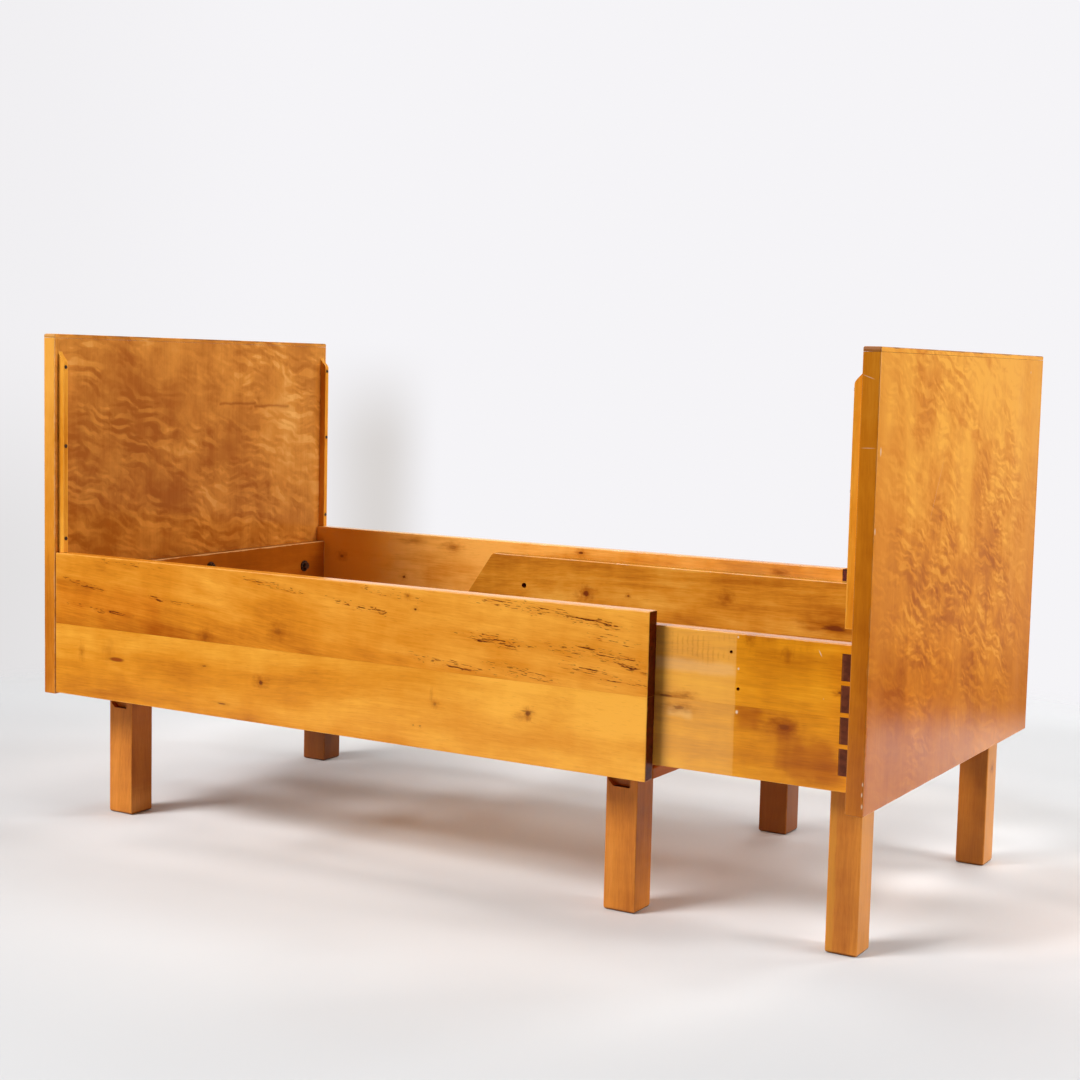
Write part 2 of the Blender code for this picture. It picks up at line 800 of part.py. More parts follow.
def make_foot_base(shop):
    """Make the bearer, the free-end batten and the legs of the foot frame."""
    reach = from_edge(REAR, INSIDE_INSET + SEAT)
    top = INNER_BOTTOM + BATTEN_THICKNESS
    bearer_end = -(CROSS_RAIL_FACE + SEAT)
    batten_start = TOE + BATTEN_FROM_TOE
    boards = (
        ("foot_bearer", bearer_end - FOOT_BEARER_WIDTH, bearer_end),
        ("free_end_batten", batten_start, batten_start + BATTEN_WIDTH),
    )
    for name, low_x, high_x in boards:
        shop.board(
            name, (low_x, -reach, INNER_BOTTOM), (high_x, reach, top), PLAIN_BIRCH, BOARD_EASE, segments=1
        )
    for side in (FRONT, REAR):
        make_leg(
            shop,
            f"foot_{SIDE_NAMES[side]}_leg",
            -(SEAT + FOOT_LEG_SIZE),
            side,
            FOOT_LEG_INSET,
            FOOT_LEG_SIZE,
            INNER_BOTTOM,
            False,
        )


def make_head_frame(shop):
    """Make everything that stays put."""
    panel = make_panel(shop, "head", -1)
    make_outer_rails(shop)
    cross_rail = make_head_cross_rail(shop)
    make_coach_screws(shop, "head", panel, cross_rail, 1, OUTER_TOP - HEAD_CROSS_RAIL_DROP)
    make_laths(shop, "head", panel, 1, OUTER_TOP + SEAT)
    make_head_base(shop)
    make_slats(
        shop,
        "outer",
        slat_places()[0::2],
        CROSS_RAIL_FACE + SLAT_END_GAP,
        OUTER_RAIL_LENGTH - SLAT_END_SHORT,
    )


def make_foot_frame(shop):
    """Make everything that draws out."""
    panel = make_panel(shop, "foot", 1)
    make_inner_rails(shop)
    cross_rail = make_foot_cross_rail(shop)
    make_coach_screws(shop, "foot", panel, cross_rail, -1, INNER_TOP)
    make_laths(shop, "foot", panel, -1, OUTER_TOP + LATH_CLEARANCE)
    make_foot_base(shop)
    make_slats(
        shop,
        "inner",
        slat_places()[1::2],
        TOE + BATTEN_FROM_TOE,
        -(CROSS_RAIL_FACE + SLAT_END_GAP),
    )


def main():
    """Build the bed."""
    clear_scene()
    pieces = new_collection("child_bed")
    cutters = new_collection("child_bed_cutters")
    head_frame = new_frame("head_frame", pieces, HEAD_ORIGIN)
    foot_frame = new_frame("foot_frame", pieces, FOOT_ORIGIN)
    make_head_frame(Workshop(head_frame, pieces, cutters))
    make_foot_frame(Workshop(foot_frame, pieces, cutters))
    bpy.context.view_layer.update()


main()
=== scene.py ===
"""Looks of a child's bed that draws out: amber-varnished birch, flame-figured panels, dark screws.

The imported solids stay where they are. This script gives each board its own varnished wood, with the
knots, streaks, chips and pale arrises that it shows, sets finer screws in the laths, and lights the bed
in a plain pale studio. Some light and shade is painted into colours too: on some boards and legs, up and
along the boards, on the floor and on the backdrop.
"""

from __future__ import annotations

import logging
import math
from dataclasses import dataclass, replace
from enum import Enum
from typing import Optional, Sequence, Union

import bmesh
import bpy
from bpy.types import Material, Node, NodeSocket, NodeTree, Object
from mathutils import Matrix, Vector

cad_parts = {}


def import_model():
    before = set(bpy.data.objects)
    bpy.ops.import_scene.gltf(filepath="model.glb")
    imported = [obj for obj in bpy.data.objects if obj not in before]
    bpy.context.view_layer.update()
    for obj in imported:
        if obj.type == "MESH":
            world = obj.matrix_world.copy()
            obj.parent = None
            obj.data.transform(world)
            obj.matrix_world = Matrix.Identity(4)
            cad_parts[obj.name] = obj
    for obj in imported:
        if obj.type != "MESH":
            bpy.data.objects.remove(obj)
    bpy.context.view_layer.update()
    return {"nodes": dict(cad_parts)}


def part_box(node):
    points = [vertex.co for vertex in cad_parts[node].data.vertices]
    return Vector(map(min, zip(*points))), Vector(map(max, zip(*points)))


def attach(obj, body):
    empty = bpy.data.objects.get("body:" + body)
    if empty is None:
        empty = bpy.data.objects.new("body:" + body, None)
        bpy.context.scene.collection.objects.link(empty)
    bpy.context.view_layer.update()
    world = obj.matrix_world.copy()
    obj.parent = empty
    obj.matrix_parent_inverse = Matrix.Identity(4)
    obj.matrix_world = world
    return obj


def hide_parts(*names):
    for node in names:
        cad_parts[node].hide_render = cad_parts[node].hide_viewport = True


LOG = logging.getLogger("child_bed")

Colour = tuple[float, float, float]
Place = tuple[float, float]
Box = tuple[Vector, Vector]
Feed = Union["Signal", float, Sequence[float]]


class Side(Enum):
    """The long sides of the bed, with the direction in which each looks outward."""

    FRONT = -1
    REAR = 1

    @property
    def word(self) -> str:
        """The side's name as the node names spell it."""
        return self.name.lower()


class Plane(Enum):
    """The upright plane that a board's broad face lies in, as the turn that brings it to face space."""

    LENGTHWISE = 0.0
    CROSSWISE = -90.0


class Run(Enum):
    """How the grain runs in a board's broad face, as a turn in face space."""

    LEVEL = 0.0
    UPRIGHT = 90.0


class Outlook(Enum):
    """The side of a board that its marks are on, as the way in which that side looks."""

    FRONTWARD = (0.0, -1.0, 0.0)
    FOOTWARD = (1.0, 0.0, 0.0)


@dataclass(frozen=True)
class Noise:
    """A noise with its own frequency, per metre, along each axis."""

    scale: tuple[float, float, float]
    detail: float = 2.0
    roughness: float = 0.5


GRAIN_DRIFT = Noise((1.6, 5.0, 5.0), 1.0)
RINGS = Noise((1.3, 34.0, 34.0), 5.0, 0.62)
FIBRE = Noise((26.0, 420.0, 420.0), 3.0, 0.65)
CLOUD = Noise((7.0, 17.0, 17.0), 4.0, 0.55)
RIPPLE = Noise((48.0, 11.0, 11.0))
PORES = Noise((60.0, 1000.0, 1000.0), 1.0)
KNOT_STIR = Noise((1.0, 1.0, 1.0), 3.0)
KNOT_RAYS = Noise((1.0, 1.0, 1.0), 4.0, 0.6)
ZONE_BORDER = Noise((38.0, 1.0, 38.0), 3.0)
DASH_SWAY = Noise((55.0, 25.0, 25.0))
DASH_ROWS = Noise((19.0, 520.0, 520.0), 2.0, 0.55)
DASH_FLECKS = Noise((80.0, 760.0, 760.0), 1.0)
FLAME_STIR = Noise((13.0, 1.0, 13.0))
FLAME_FOLDS = Noise((22.0, 1.0, 62.0), 2.0, 0.45)
FLAME_BREAKS = Noise((12.0, 1.0, 22.0), 3.0)
FLAME_CALM = Noise((6.0, 1.0, 5.0))
FLAME_BLOTCHES = Noise((12.0, 1.0, 10.0), 5.0, 0.65)
FLAME_FIBRE = Noise((420.0, 1.0, 6.0), 2.0, 0.55)
ARRIS_PATCHES = Noise((26.0, 26.0, 26.0), 4.0, 0.65)
STREAK_WAVES = Noise((42.0, 1.0, 42.0))
CHATTER_STIR = Noise((30.0, 1.0, 90.0))
END_MOTTLE = Noise((90.0, 90.0, 160.0), 3.0, 0.6)
STEEL_PATCHES = Noise((260.0, 260.0, 260.0), 4.0, 0.6)
STEEL_PITS = Noise((1500.0, 1500.0, 1500.0))
PAPER_SCUFF = Noise((3.0, 3.0, 3.0), 3.0)

FLAME_LIFT = (0.002, 0.0, 0.005)
SPECK_CELLS = 60.0
SPECK_SHARE = 0.012
ARRIS_WIDTH = 0.0022
CHATTER_SOFT = 0.009
STEEL_RELIEF = 0.0002

KNOT_CORE: Colour = (0.15, 0.03, 0.005)
KNOT_SMUDGE: Colour = (0.55, 0.36, 0.16)
PORE: Colour = (0.6, 0.42, 0.2)
RUST: Colour = (0.78, 0.46, 0.25)
STREAK: Colour = (0.10, 0.014, 0.002)
CHIP: Colour = (0.80, 0.68, 0.50)
BLACK: Colour = (0.0, 0.0, 0.0)


class Signal:
    """An output in a shader tree, which plain arithmetic combines with others of its kind."""

    def __init__(self, graph: Graph, socket: NodeSocket) -> None:
        """Keep the socket and the graph that it belongs to."""
        self.graph = graph
        self.socket = socket

    def __add__(self, other: Feed) -> Signal:
        """Add a signal or a plain value."""
        return self.graph.combine("ADD", self, other)

    def __sub__(self, other: Feed) -> Signal:
        """Take away a signal or a plain value."""
        return self.graph.combine("SUBTRACT", self, other)

    def __mul__(self, other: Feed) -> Signal:
        """Multiply by a signal or a plain value."""
        return self.graph.combine("MULTIPLY", self, other)

    def sibling(self, output: str) -> Signal:
        """Return another output of the same node."""
        return Signal(self.graph, self.socket.node.outputs[output])


class Graph:
    """Adds nodes to one shader tree and links them."""

    def __init__(self, tree: NodeTree) -> None:
        """Keep the tree that the nodes go into."""
        self.tree = tree

    def feed(self, node: Node, values: dict[Union[int, str], Feed]) -> None:
        """Link inputs of a node to signals, or set their own values.

        Args:
            node: the node.
            values: what goes into each input, by the input's name or number.
        """
        for name, value in values.items():
            socket = node.inputs[name]
            if isinstance(value, Signal):
                self.tree.links.new(value.socket, socket)
            elif socket.type == "RGBA" and len(value) == 3:
                socket.default_value = (*value, 1.0)
            else:
                socket.default_value = value

    def make(
        self, kind: str, values: dict[Union[int, str], Feed], output: Union[int, str] = 0, **settings: object
    ) -> Signal:
        """Add a node and feed it.

        Args:
            kind: the node type without its ShaderNode prefix.
            values: what goes into each input, by the input's name or number.
            output: the output to return, by its name or number.
            settings: properties to set on the node.

        Returns:
            The output.
        """
        node = self.tree.nodes.new("ShaderNode" + kind)
        for name, value in settings.items():
            setattr(node, name, value)
        self.feed(node, values)
        return Signal(self, node.outputs[output])

    def read(self, kind: str, output: str) -> Signal:
        """Return an output of a new node that needs no input."""
        return self.make(kind, {}, output)

    def combine(self, operation: str, *values: Feed) -> Signal:
        """Combine numbers or vectors.

        Args:
            operation: the operation of the Math or Vector Math node.
            values: its inputs in order. The first one tells numbers from vectors.

        Returns:
            The result, which is a number for LENGTH and DOT_PRODUCT.
        """
        vectors = isinstance(values[0], Signal) and values[0].socket.type == "VECTOR"
        number = not vectors or operation in {"LENGTH", "DOT_PRODUCT"}
        kind = "VectorMath" if vectors else "Math"
        return self.make(kind, dict(enumerate(values)), "Value" if number else "Vector", operation=operation)

    def turned(self, vector: Signal, rotation: Sequence[float]) -> Signal:
        """Turn a vector by an Euler rotation in radians."""
        return self.make("Mapping", {"Vector": vector, "Rotation": rotation}, vector_type="POINT")

    def split(self, vector: Signal) -> list[Signal]:
        """Return the three numbers of a vector."""
        node = self.make("SeparateXYZ", {0: vector}).socket.node
        return [Signal(self, socket) for socket in node.outputs]

    def joined(self, *values: Feed) -> Signal:
        """Return a vector made of three numbers."""
        return self.make("CombineXYZ", dict(enumerate(values)))

    def noise(self, vector: Signal, kind: Noise) -> Signal:
        """Return the value of a noise at a place."""
        texture = {"Scale": 1.0, "Detail": kind.detail, "Roughness": kind.roughness}
        return self.make("TexNoise", {"Vector": vector * kind.scale, **texture})

    def step(self, value: Signal, low: Feed, high: Feed, to_low: Feed = 0.0, to_high: Feed = 1.0) -> Signal:
        """Ease a number from one value to another between two limits."""
        inputs = dict(enumerate((value, low, high, to_low, to_high)))
        return self.make("MapRange", inputs, interpolation_type="SMOOTHSTEP")

    def blend(self, share: Feed, first: Feed, second: Feed, mode: str = "MIX") -> Signal:
        """Lay a share of a second colour over a first one, by a blend type."""
        inputs = {0: share, 6: first, 7: second}
        return self.make("Mix", inputs, 2, data_type="RGBA", blend_type=mode, clamp_factor=True)

    def ramp(self, share: Signal, colours: Sequence[Colour]) -> Signal:
        """Run evenly through several colours.

        Args:
            share: a number from 0 to 1.
            colours: the colours in order.

        Returns:
            The colour.
        """
        result = self.make("ValToRGB", {0: share})
        stops = result.socket.node.color_ramp.elements
        while len(stops) < len(colours):
            stops.new(0.5)
        for number, colour in enumerate(colours):
            stops[number].position = number / (len(colours) - 1)
            stops[number].color = (*colour, 1.0)
        return result

    def facing(self, axis: Sequence[float]) -> Signal:
        """Return how far the surface looks along a direction: 1 along it, -1 against it."""
        return self.combine("DOT_PRODUCT", self.read("NewGeometry", "Normal"), axis)

    def effect(self, tree: NodeTree, **values: Feed) -> dict[str, Signal]:
        """Place a shared effect, with its inputs by name, and return its outputs by name."""
        node = self.make("Group", values, node_tree=tree).socket.node
        return {socket.name: Signal(self, socket) for socket in node.outputs}


class EffectGroup(Graph):
    """A shader node group with named inputs and outputs."""

    def __init__(
        self, name: str, vectors: Sequence[str], numbers: Sequence[str], outputs: Sequence[str]
    ) -> None:
        """Make the group and its sockets.

        Args:
            name: the group's name.
            vectors: the names of the vectors that it takes in.
            numbers: the names of the numbers that it takes in.
            outputs: the names of the numbers that it puts out.
        """
        super().__init__(bpy.data.node_groups.new(name, "ShaderNodeTree"))
        sockets = [(label, "INPUT", "NodeSocketVector") for label in vectors]
        sockets += [(label, "INPUT", "NodeSocketFloat") for label in numbers]
        sockets += [(label, "OUTPUT", "NodeSocketFloat") for label in outputs]
        for label, way, kind in sockets:
            self.tree.interface.new_socket(label, in_out=way, socket_type=kind)
        given = self.tree.nodes.new("NodeGroupInput").outputs
        self.given = {label: Signal(self, given[label]) for label in (*vectors, *numbers)}
        self.result = self.tree.nodes.new("NodeGroupOutput")

    def shifted(self, scale: Sequence[float] = (3.7, 5.3, 2.9)) -> Signal:
        """Return the input place moved by the seed, so that no two boards are alike."""
        seed = self.given["Seed"]
        return self.given["Vector"] + self.joined(seed, seed, seed) * scale

    def done(self, **values: Signal) -> NodeTree:
        """Feed the group's outputs by name, and return its tree."""
        self.feed(self.result, values)
        return self.tree


class Effects:
    """The shared effects, each built once as a shader node group."""

    def __init__(self) -> None:
        """Build every group."""
        self.grain = self._grain()
        self.knot = self._knot()
        self.band = self._band()
        self.zone = self._zone()
        self.dashes = self._dashes()
        self.flame = self._flame()
        self.wear = self._wear()
        self.specks = self._specks()

    @staticmethod
    def _grain() -> NodeTree:
        """Plain birch in grain space: growth rings, fibre, clouds, cross ripple and pores."""
        names = ("Rings", "Fibre", "Cloud", "Ripple", "Pores")
        group = EffectGroup("birch_grain", ("Vector",), ("Seed",), names)
        place = group.shifted()
        bend = (group.noise(place, GRAIN_DRIFT) - 0.5) * 0.05
        place = place + group.joined(0.0, bend, bend)
        return group.done(
            Rings=group.noise(place, RINGS),
            Fibre=group.noise(place, FIBRE),
            Cloud=group.noise(place, CLOUD),
            Ripple=group.noise(place, RIPPLE),
            Pores=group.step(group.noise(place, PORES), 0.62, 0.74),
        )

    @staticmethod
    def _knot() -> NodeTree:
        """A birch knot in face space: a small dark core and a smudge with ragged rays."""
        group = EffectGroup("knot", ("Vector", "Centre", "Reach"), ("Seed", "Ragged"), ("Core", "Smudge"))
        given = group.given
        offset = (given["Vector"] - given["Centre"]) * given["Reach"]
        length = group.combine("LENGTH", offset)
        seed = group.joined(given["Seed"], 0.0, given["Seed"])
        reach = length + (group.noise(offset + seed, KNOT_STIR) - 0.5) * given["Ragged"]
        rays = group.noise(offset * (0.55, 0.55, 0.55) + seed, KNOT_RAYS)
        spread = (rays - 0.5) * 1.5 + length * 0.24
        return group.done(
            Core=group.step(reach, 0.45, 1.0, 1.0, 0.0), Smudge=group.step(spread, 0.0, 0.85, 1.0, 0.0)
        )

    @staticmethod
    def _band() -> NodeTree:
        """A long soft patch in face space, sloped along its own line."""
        group = EffectGroup("band", ("Vector", "Centre", "Reach"), ("Slope",), ("Mask",))
        given = group.given
        along, _, up = group.split(given["Vector"] - given["Centre"])
        offset = group.joined(along, 0.0, up - along * given["Slope"]) * given["Reach"]
        return group.done(Mask=group.step(group.combine("LENGTH", offset), 0.35, 1.0, 1.0, 0.0))

    @staticmethod
    def _zone() -> NodeTree:
        """An upright rectangle in face space with a soft, slightly ragged border."""
        group = EffectGroup("zone", ("Vector", "Low", "High"), ("Soft",), ("Mask",))
        given = group.given
        soft = given["Soft"]
        shift = (group.noise(given["Vector"], ZONE_BORDER) - 0.5) * (soft * 2.4)
        place = given["Vector"] + group.joined(shift, 0.0, shift)
        along, _, up = group.split(group.combine("MINIMUM", place - given["Low"], given["High"] - place))
        sides, ends = (group.step(inside, soft * -1.0, soft) for inside in (along, up))
        return group.done(Mask=sides * ends)

    @staticmethod
    def _dashes() -> NodeTree:
        """Short dark mineral streaks in grain space, thicker where the density is high."""
        group = EffectGroup("mineral_dashes", ("Vector",), ("Density", "Seed"), ("Mask", "Halo"))
        place = group.shifted()
        bend = (group.noise(place, DASH_SWAY) - 0.5) * 0.004
        place = place + group.joined(0.0, bend, bend)
        density = group.given["Density"]
        start = density * -0.19 + 0.765
        end = start + 0.045
        rows = group.noise(place, DASH_ROWS)
        flecks = group.step(group.noise(place, DASH_FLECKS), start, end) * 0.7
        both = group.combine("MAXIMUM", group.step(rows, start, end), flecks)
        fade = group.step(density, 0.02, 0.25)
        return group.done(Mask=both * fade, Halo=group.step(rows, start - 0.09, end) * fade)

    @staticmethod
    def _flame() -> NodeTree:
        """Flame figure of curly veneer in face space: crisp crescents, blotches and upright fibre."""
        outputs = ("Relief", "Blotch", "Fibre", "Calm")
        group = EffectGroup("flame_figure", ("Vector",), ("Seed", "Slope"), outputs)
        slope = group.given["Slope"]
        place = group.shifted((1.9, 0.0, 2.3))
        along, _, up = group.split(place)
        sloped = group.joined(along - up * slope, group.given["Seed"], up + along * slope)
        warp = (group.noise(place, FLAME_STIR) - 0.5) * 0.05
        curled = sloped + group.joined(warp, 0.0, warp)
        steep = group.noise(curled + FLAME_LIFT, FLAME_FOLDS) - group.noise(curled, FLAME_FOLDS)
        crest = group.step(steep, 0.015, 0.085)
        trough = group.step(steep, -0.085, -0.015, 1.0, 0.0)
        broken = group.step(group.noise(sloped, FLAME_BREAKS), 0.34, 0.56)
        return group.done(
            Relief=(trough * -0.7 + crest) * broken,
            Calm=group.step(group.noise(place, FLAME_CALM), 0.30, 0.54),
            Blotch=group.step(group.noise(place, FLAME_BLOTCHES), 0.34, 0.66),
            Fibre=group.noise(place, FLAME_FIBRE),
        )

    @staticmethod
    def _wear() -> NodeTree:
        """The arrises of a board, from how near a place is to the edges of its box."""
        group = EffectGroup("rubbed_arris", ("Vector", "Low", "High"), ("Width",), ("Edge",))
        given = group.given
        place = given["Vector"]
        x, y, z = group.split(group.combine("MINIMUM", place - given["Low"], given["High"] - place))
        wider = group.combine("MINIMUM", group.combine("MAXIMUM", x, y), z)
        middle = group.combine("MAXIMUM", group.combine("MINIMUM", x, y), wider)
        room = given["Width"] * group.step(group.noise(place, ARRIS_PATCHES), 0.35, 0.7, 0.35, 1.6)
        return group.done(Edge=group.step(group.combine("DIVIDE", middle, room), 0.3, 1.0, 1.0, 0.0))

    @staticmethod
    def _specks() -> NodeTree:
        """Pale dust specks and nicks, scattered thinly."""
        group = EffectGroup("dust_specks", ("Vector",), ("Amount",), ("Mask",))
        inputs = {"Vector": group.given["Vector"], "Scale": SPECK_CELLS}
        away = group.make("TexVoronoi", inputs, "Distance", feature="F1")
        chance = group.split(away.sibling("Color"))[0]
        kept = group.combine("LESS_THAN", chance, group.given["Amount"])
        return group.done(Mask=group.step(away, 0.02, 0.06, 1.0, 0.0) * kept)


@dataclass(frozen=True)
class Knot:
    """A knot in a board's broad face."""

    at: Place
    size: float
    stretch: float = 1.5
    core: float = 0.9
    smudge: float = 0.6
    ragged: float = 1.3
    heart: Colour = KNOT_CORE


@dataclass(frozen=True)
class Stain:
    """A soft-edged patch of another tone, from its lowest to its highest corner in the face. Most are real
    staining; some are painted shade and a few painted light.
    """

    low: Place
    high: Place
    soft: float
    weight: float
    colour: Colour = (0.62, 0.42, 0.22)
    mode: str = "MULTIPLY"
    side: Optional[Outlook] = None


@dataclass(frozen=True)
class Chatter:
    """Upright marks that a plane left across the grain."""

    low: Place
    high: Place
    period: float = 0.0072
    weight: float = 0.3


@dataclass(frozen=True)
class Streak:
    """A line of mineral streaks, from one place in the face to another."""

    start: Place
    end: Place
    width: float = 0.006
    weight: float = 1.0


@dataclass(frozen=True)
class Scratch:
    """A fine pale scratch or chip line in the varnish."""

    start: Place
    end: Place
    width: float = 0.0006
    weight: float = 0.7


@dataclass(frozen=True)
class BoardLook:
    """What sets one board's wood apart: its seed, tone and marks, with the painted light and shade that it
    carries.
    """

    seed: float
    tone: float = 0.0
    depth: float = 1.0
    hue: Colour = (1.0, 1.0, 1.0)
    tilt: float = 0.0
    figure: float = 1.0
    # rise tilts the tone up the face and lean along it: painted light, and along the face partly the wood's
    # own tone too.
    rise: float = 0.0
    lean: float = 0.0
    heart: float = 1.0
    curl: float = 1.0
    slope: float = 0.36
    low_calm: float = 1.0
    side: Optional[Outlook] = None
    knots: tuple[Knot, ...] = ()
    streaks: tuple[Streak, ...] = ()
    stains: tuple[Stain, ...] = ()
    chatter: tuple[Chatter, ...] = ()
    scratches: tuple[Scratch, ...] = ()


def blank_material(name: str) -> tuple[Material, Graph, Node, Signal]:
    """Start a material.

    Args:
        name: the material's name.

    Returns:
        The material, its graph, its shader and its object coordinates.
    """
    material = bpy.data.materials.new(name)
    material.use_nodes = True
    graph = Graph(material.node_tree)
    return material, graph, material.node_tree.nodes["Principled BSDF"], graph.read("TexCoord", "Object")


@dataclass
class WoodSurface:
    """A wood material while it is being put together."""

    material: Material
    graph: Graph
    shader: Node
    place: Signal
    face: Signal
    grain: Signal
    colour: Feed = (0.8, 0.8, 0.8)
    rough: Feed = 0.3
    height: Feed = 0.5

    @classmethod
    def begin(cls, name: str, plane: Plane, run: Run, tilt: float) -> WoodSurface:
        """Start a material with its coordinates.

        Args:
            name: the material's name.
            plane: the plane of the board's broad face.
            run: how the grain runs in that face.
            tilt: the grain's slope in degrees.

        Returns:
            The surface, ready for its layers.
        """
        material, graph, shader, place = blank_material(name)
        face = graph.turned(place, (0.0, 0.0, math.radians(plane.value)))
        grain = graph.turned(face, (0.0, math.radians(run.value + tilt), 0.0))
        return cls(material, graph, shader, place, face, grain)

    def tint(self, share: Feed, colour: Feed, mode: str = "MIX") -> None:
        """Lay a colour over the wood where a mask shows it."""
        self.colour = self.graph.blend(share, self.colour, colour, mode)

    def finish(self, bump: float, gloss: float) -> Material:
        """Link the layers to the shader.

        Args:
            bump: how deep the grain's relief is, in metres.
            gloss: how strongly the varnish shines, 0.5 for a full gloss.

        Returns:
            The finished material.
        """
        relief = self.graph.make("Bump", {"Strength": 1.0, "Distance": bump, "Height": self.height}, "Normal")
        layers = {"Base Color": self.colour, "Roughness": self.rough, "Normal": relief}
        self.graph.feed(self.shader, {**layers, "Specular IOR Level": gloss})
        return self.material


@dataclass(frozen=True)
class WoodFinish:
    """A kind of wood under its finish, from which each board's own material is made."""

    effects: Effects
    deep: Colour
    middle: Colour
    pale: Colour
    end: Colour
    rough: float = 0.2
    rings: float = 0.9
    fibre: float = 0.35
    cloud: float = 0.9
    ripple: float = 0.3
    bump: float = 0.0004
    gloss: float = 0.25
    # The arris tint set here is real rubbing on most finishes; on the head cross rail it is a painted
    # highlight, and on the panels' top lippings a painted dark reflection.
    worn: float = 0.4
    worn_rough: float = 0.18
    rubbed: Optional[Colour] = None

    def material(self, name: str, look: BoardLook, plane: Plane, run: Run, box: Box) -> Material:
        """Make one board's material.

        Args:
            name: the material's name.
            look: what sets the board apart.
            plane: the plane of its broad face.
            run: how its grain runs.
            box: lowest and highest corner of what the board's outer arrises belong to.

        Returns:
            The material.
        """
        surface = WoodSurface.begin(name, plane, run, look.tilt)
        self.lay_wood(surface, look, self.drift(surface, look, box, plane))
        self.lay_marks(surface, look)
        self.lay_end_grain(surface, plane, run)
        self.lay_wear(surface, box)
        return surface.finish(self.bump, self.gloss)

    def drift(self, surface: WoodSurface, look: BoardLook, box: Box, plane: Plane) -> Signal:
        """Return the board's slow change of tone, along its face and up it.
        The change up the face is painted light, the tone lighter or darker towards the top as light falls on
        the board; the change along it is partly the wood's own tone and partly painted light.

        Args:
            surface: the material that is being made.
            look: what sets the board apart.
            box: lowest and highest corner that the change runs between.
            plane: the plane of the board's broad face.

        Returns:
            A number around the board's own tone.
        """
        graph = surface.graph
        along, _, up = graph.split(surface.face)
        axis = 0 if plane is Plane.LENGTHWISE else 1
        shade: Feed = 0.5 + look.tone
        for value, place, change in ((along, axis, look.lean), (up, 2, look.rise)):
            shade = graph.step(value, box[0][place], box[1][place], -0.5, 0.5) * change + shade
        return shade

    def lay_wood(self, surface: WoodSurface, look: BoardLook, shade: Signal) -> None:
        """Lay the wood itself: rings, fibre, clouds and ripple in three tones.

        Args:
            surface: the material that is being made.
            look: what sets the board apart.
            shade: the board's tone, from 0 for dark to 1 for light.
        """
        graph = surface.graph
        parts = graph.effect(self.effects.grain, Vector=surface.grain, Seed=look.seed)
        weights = {"Rings": self.rings, "Fibre": self.fibre, "Cloud": self.cloud, "Ripple": self.ripple}
        for name, weight in weights.items():
            shade = (parts[name] - 0.5) * (weight * look.figure) + shade
        surface.colour = graph.ramp(shade, self.tones(look))
        surface.tint(parts["Pores"] * 0.25, PORE, "MULTIPLY")
        surface.rough = parts["Cloud"] * 0.16 + (self.rough - 0.08)
        surface.height = parts["Rings"] * 0.25 + (parts["Cloud"] * 1.6 + parts["Fibre"] * 0.12)

    def tones(self, look: BoardLook) -> tuple[Colour, ...]:
        """Return the dark, middle and light tone of one board."""
        return tuple(
            tuple(min(1.0, channel * look.depth * shift) for channel, shift in zip(colour, look.hue))
            for colour in (self.deep, self.middle, self.pale)
        )

    def lay_marks(self, surface: WoodSurface, look: BoardLook) -> None:
        """Lay the tone patches (real staining, and on some boards painted shade and light), plane marks,
        knots, streaks and scratches of one board.

        Args:
            surface: the material that is being made.
            look: what sets the board apart.
        """
        graph = surface.graph
        for tone_patch in look.stains:
            mask = self.zone(surface, tone_patch, tone_patch.soft)
            mask = self.one_side(surface, tone_patch.side or look.side, mask)
            surface.tint(mask * tone_patch.weight, tone_patch.colour, tone_patch.mode)
        for marks in look.chatter:
            self.lay_chatter(surface, look, marks)
        for number, knot in enumerate(look.knots):
            parts = graph.effect(
                self.effects.knot,
                Vector=surface.face,
                Centre=(knot.at[0], 0.0, knot.at[1]),
                Reach=(1.0 / (knot.size * knot.stretch), 0.0, 1.0 / knot.size),
                Seed=look.seed + number,
                Ragged=knot.ragged,
            )
            surface.tint(parts["Smudge"] * knot.smudge, KNOT_SMUDGE, "MULTIPLY")
            surface.tint(parts["Core"] * knot.core, knot.heart)
        if look.streaks:
            sway = (graph.noise(surface.face, STREAK_WAVES) - 0.5) * 0.010
            bent = replace(surface, face=surface.face + graph.joined(0.0, 0.0, sway))
            density = self.spread(bent, look.streaks)
            dashes = graph.effect(self.effects.dashes, Vector=surface.grain, Density=density, Seed=look.seed)
            surface.tint(density * 0.12, PORE, "MULTIPLY")
            surface.tint(dashes["Halo"] * 0.6, RUST, "MULTIPLY")
            surface.tint(dashes["Mask"], STREAK)
        if look.scratches:
            worn = self.one_side(surface, look.side, self.spread(surface, look.scratches))
            surface.tint(worn * 0.8, CHIP)

    def zone(self, surface: WoodSurface, area: Union[Stain, Chatter], soft: float) -> Signal:
        """Return the mask of an area of the face, with a soft border."""
        graph, zone = surface.graph, self.effects.zone
        low, high = ((corner[0], 0.0, corner[1]) for corner in (area.low, area.high))
        return graph.effect(zone, Vector=surface.face, Low=low, High=high, Soft=soft)["Mask"]

    def one_side(self, surface: WoodSurface, side: Optional[Outlook], mask: Signal) -> Signal:
        """Return a mask that is kept on one side of the board.

        Args:
            surface: the material that is being made.
            side: the side to keep, or none for all sides.
            mask: the mask on all sides.

        Returns:
            The mask.
        """
        if side is None:
            return mask
        return mask * surface.graph.step(surface.graph.facing(side.value), 0.4, 0.7)

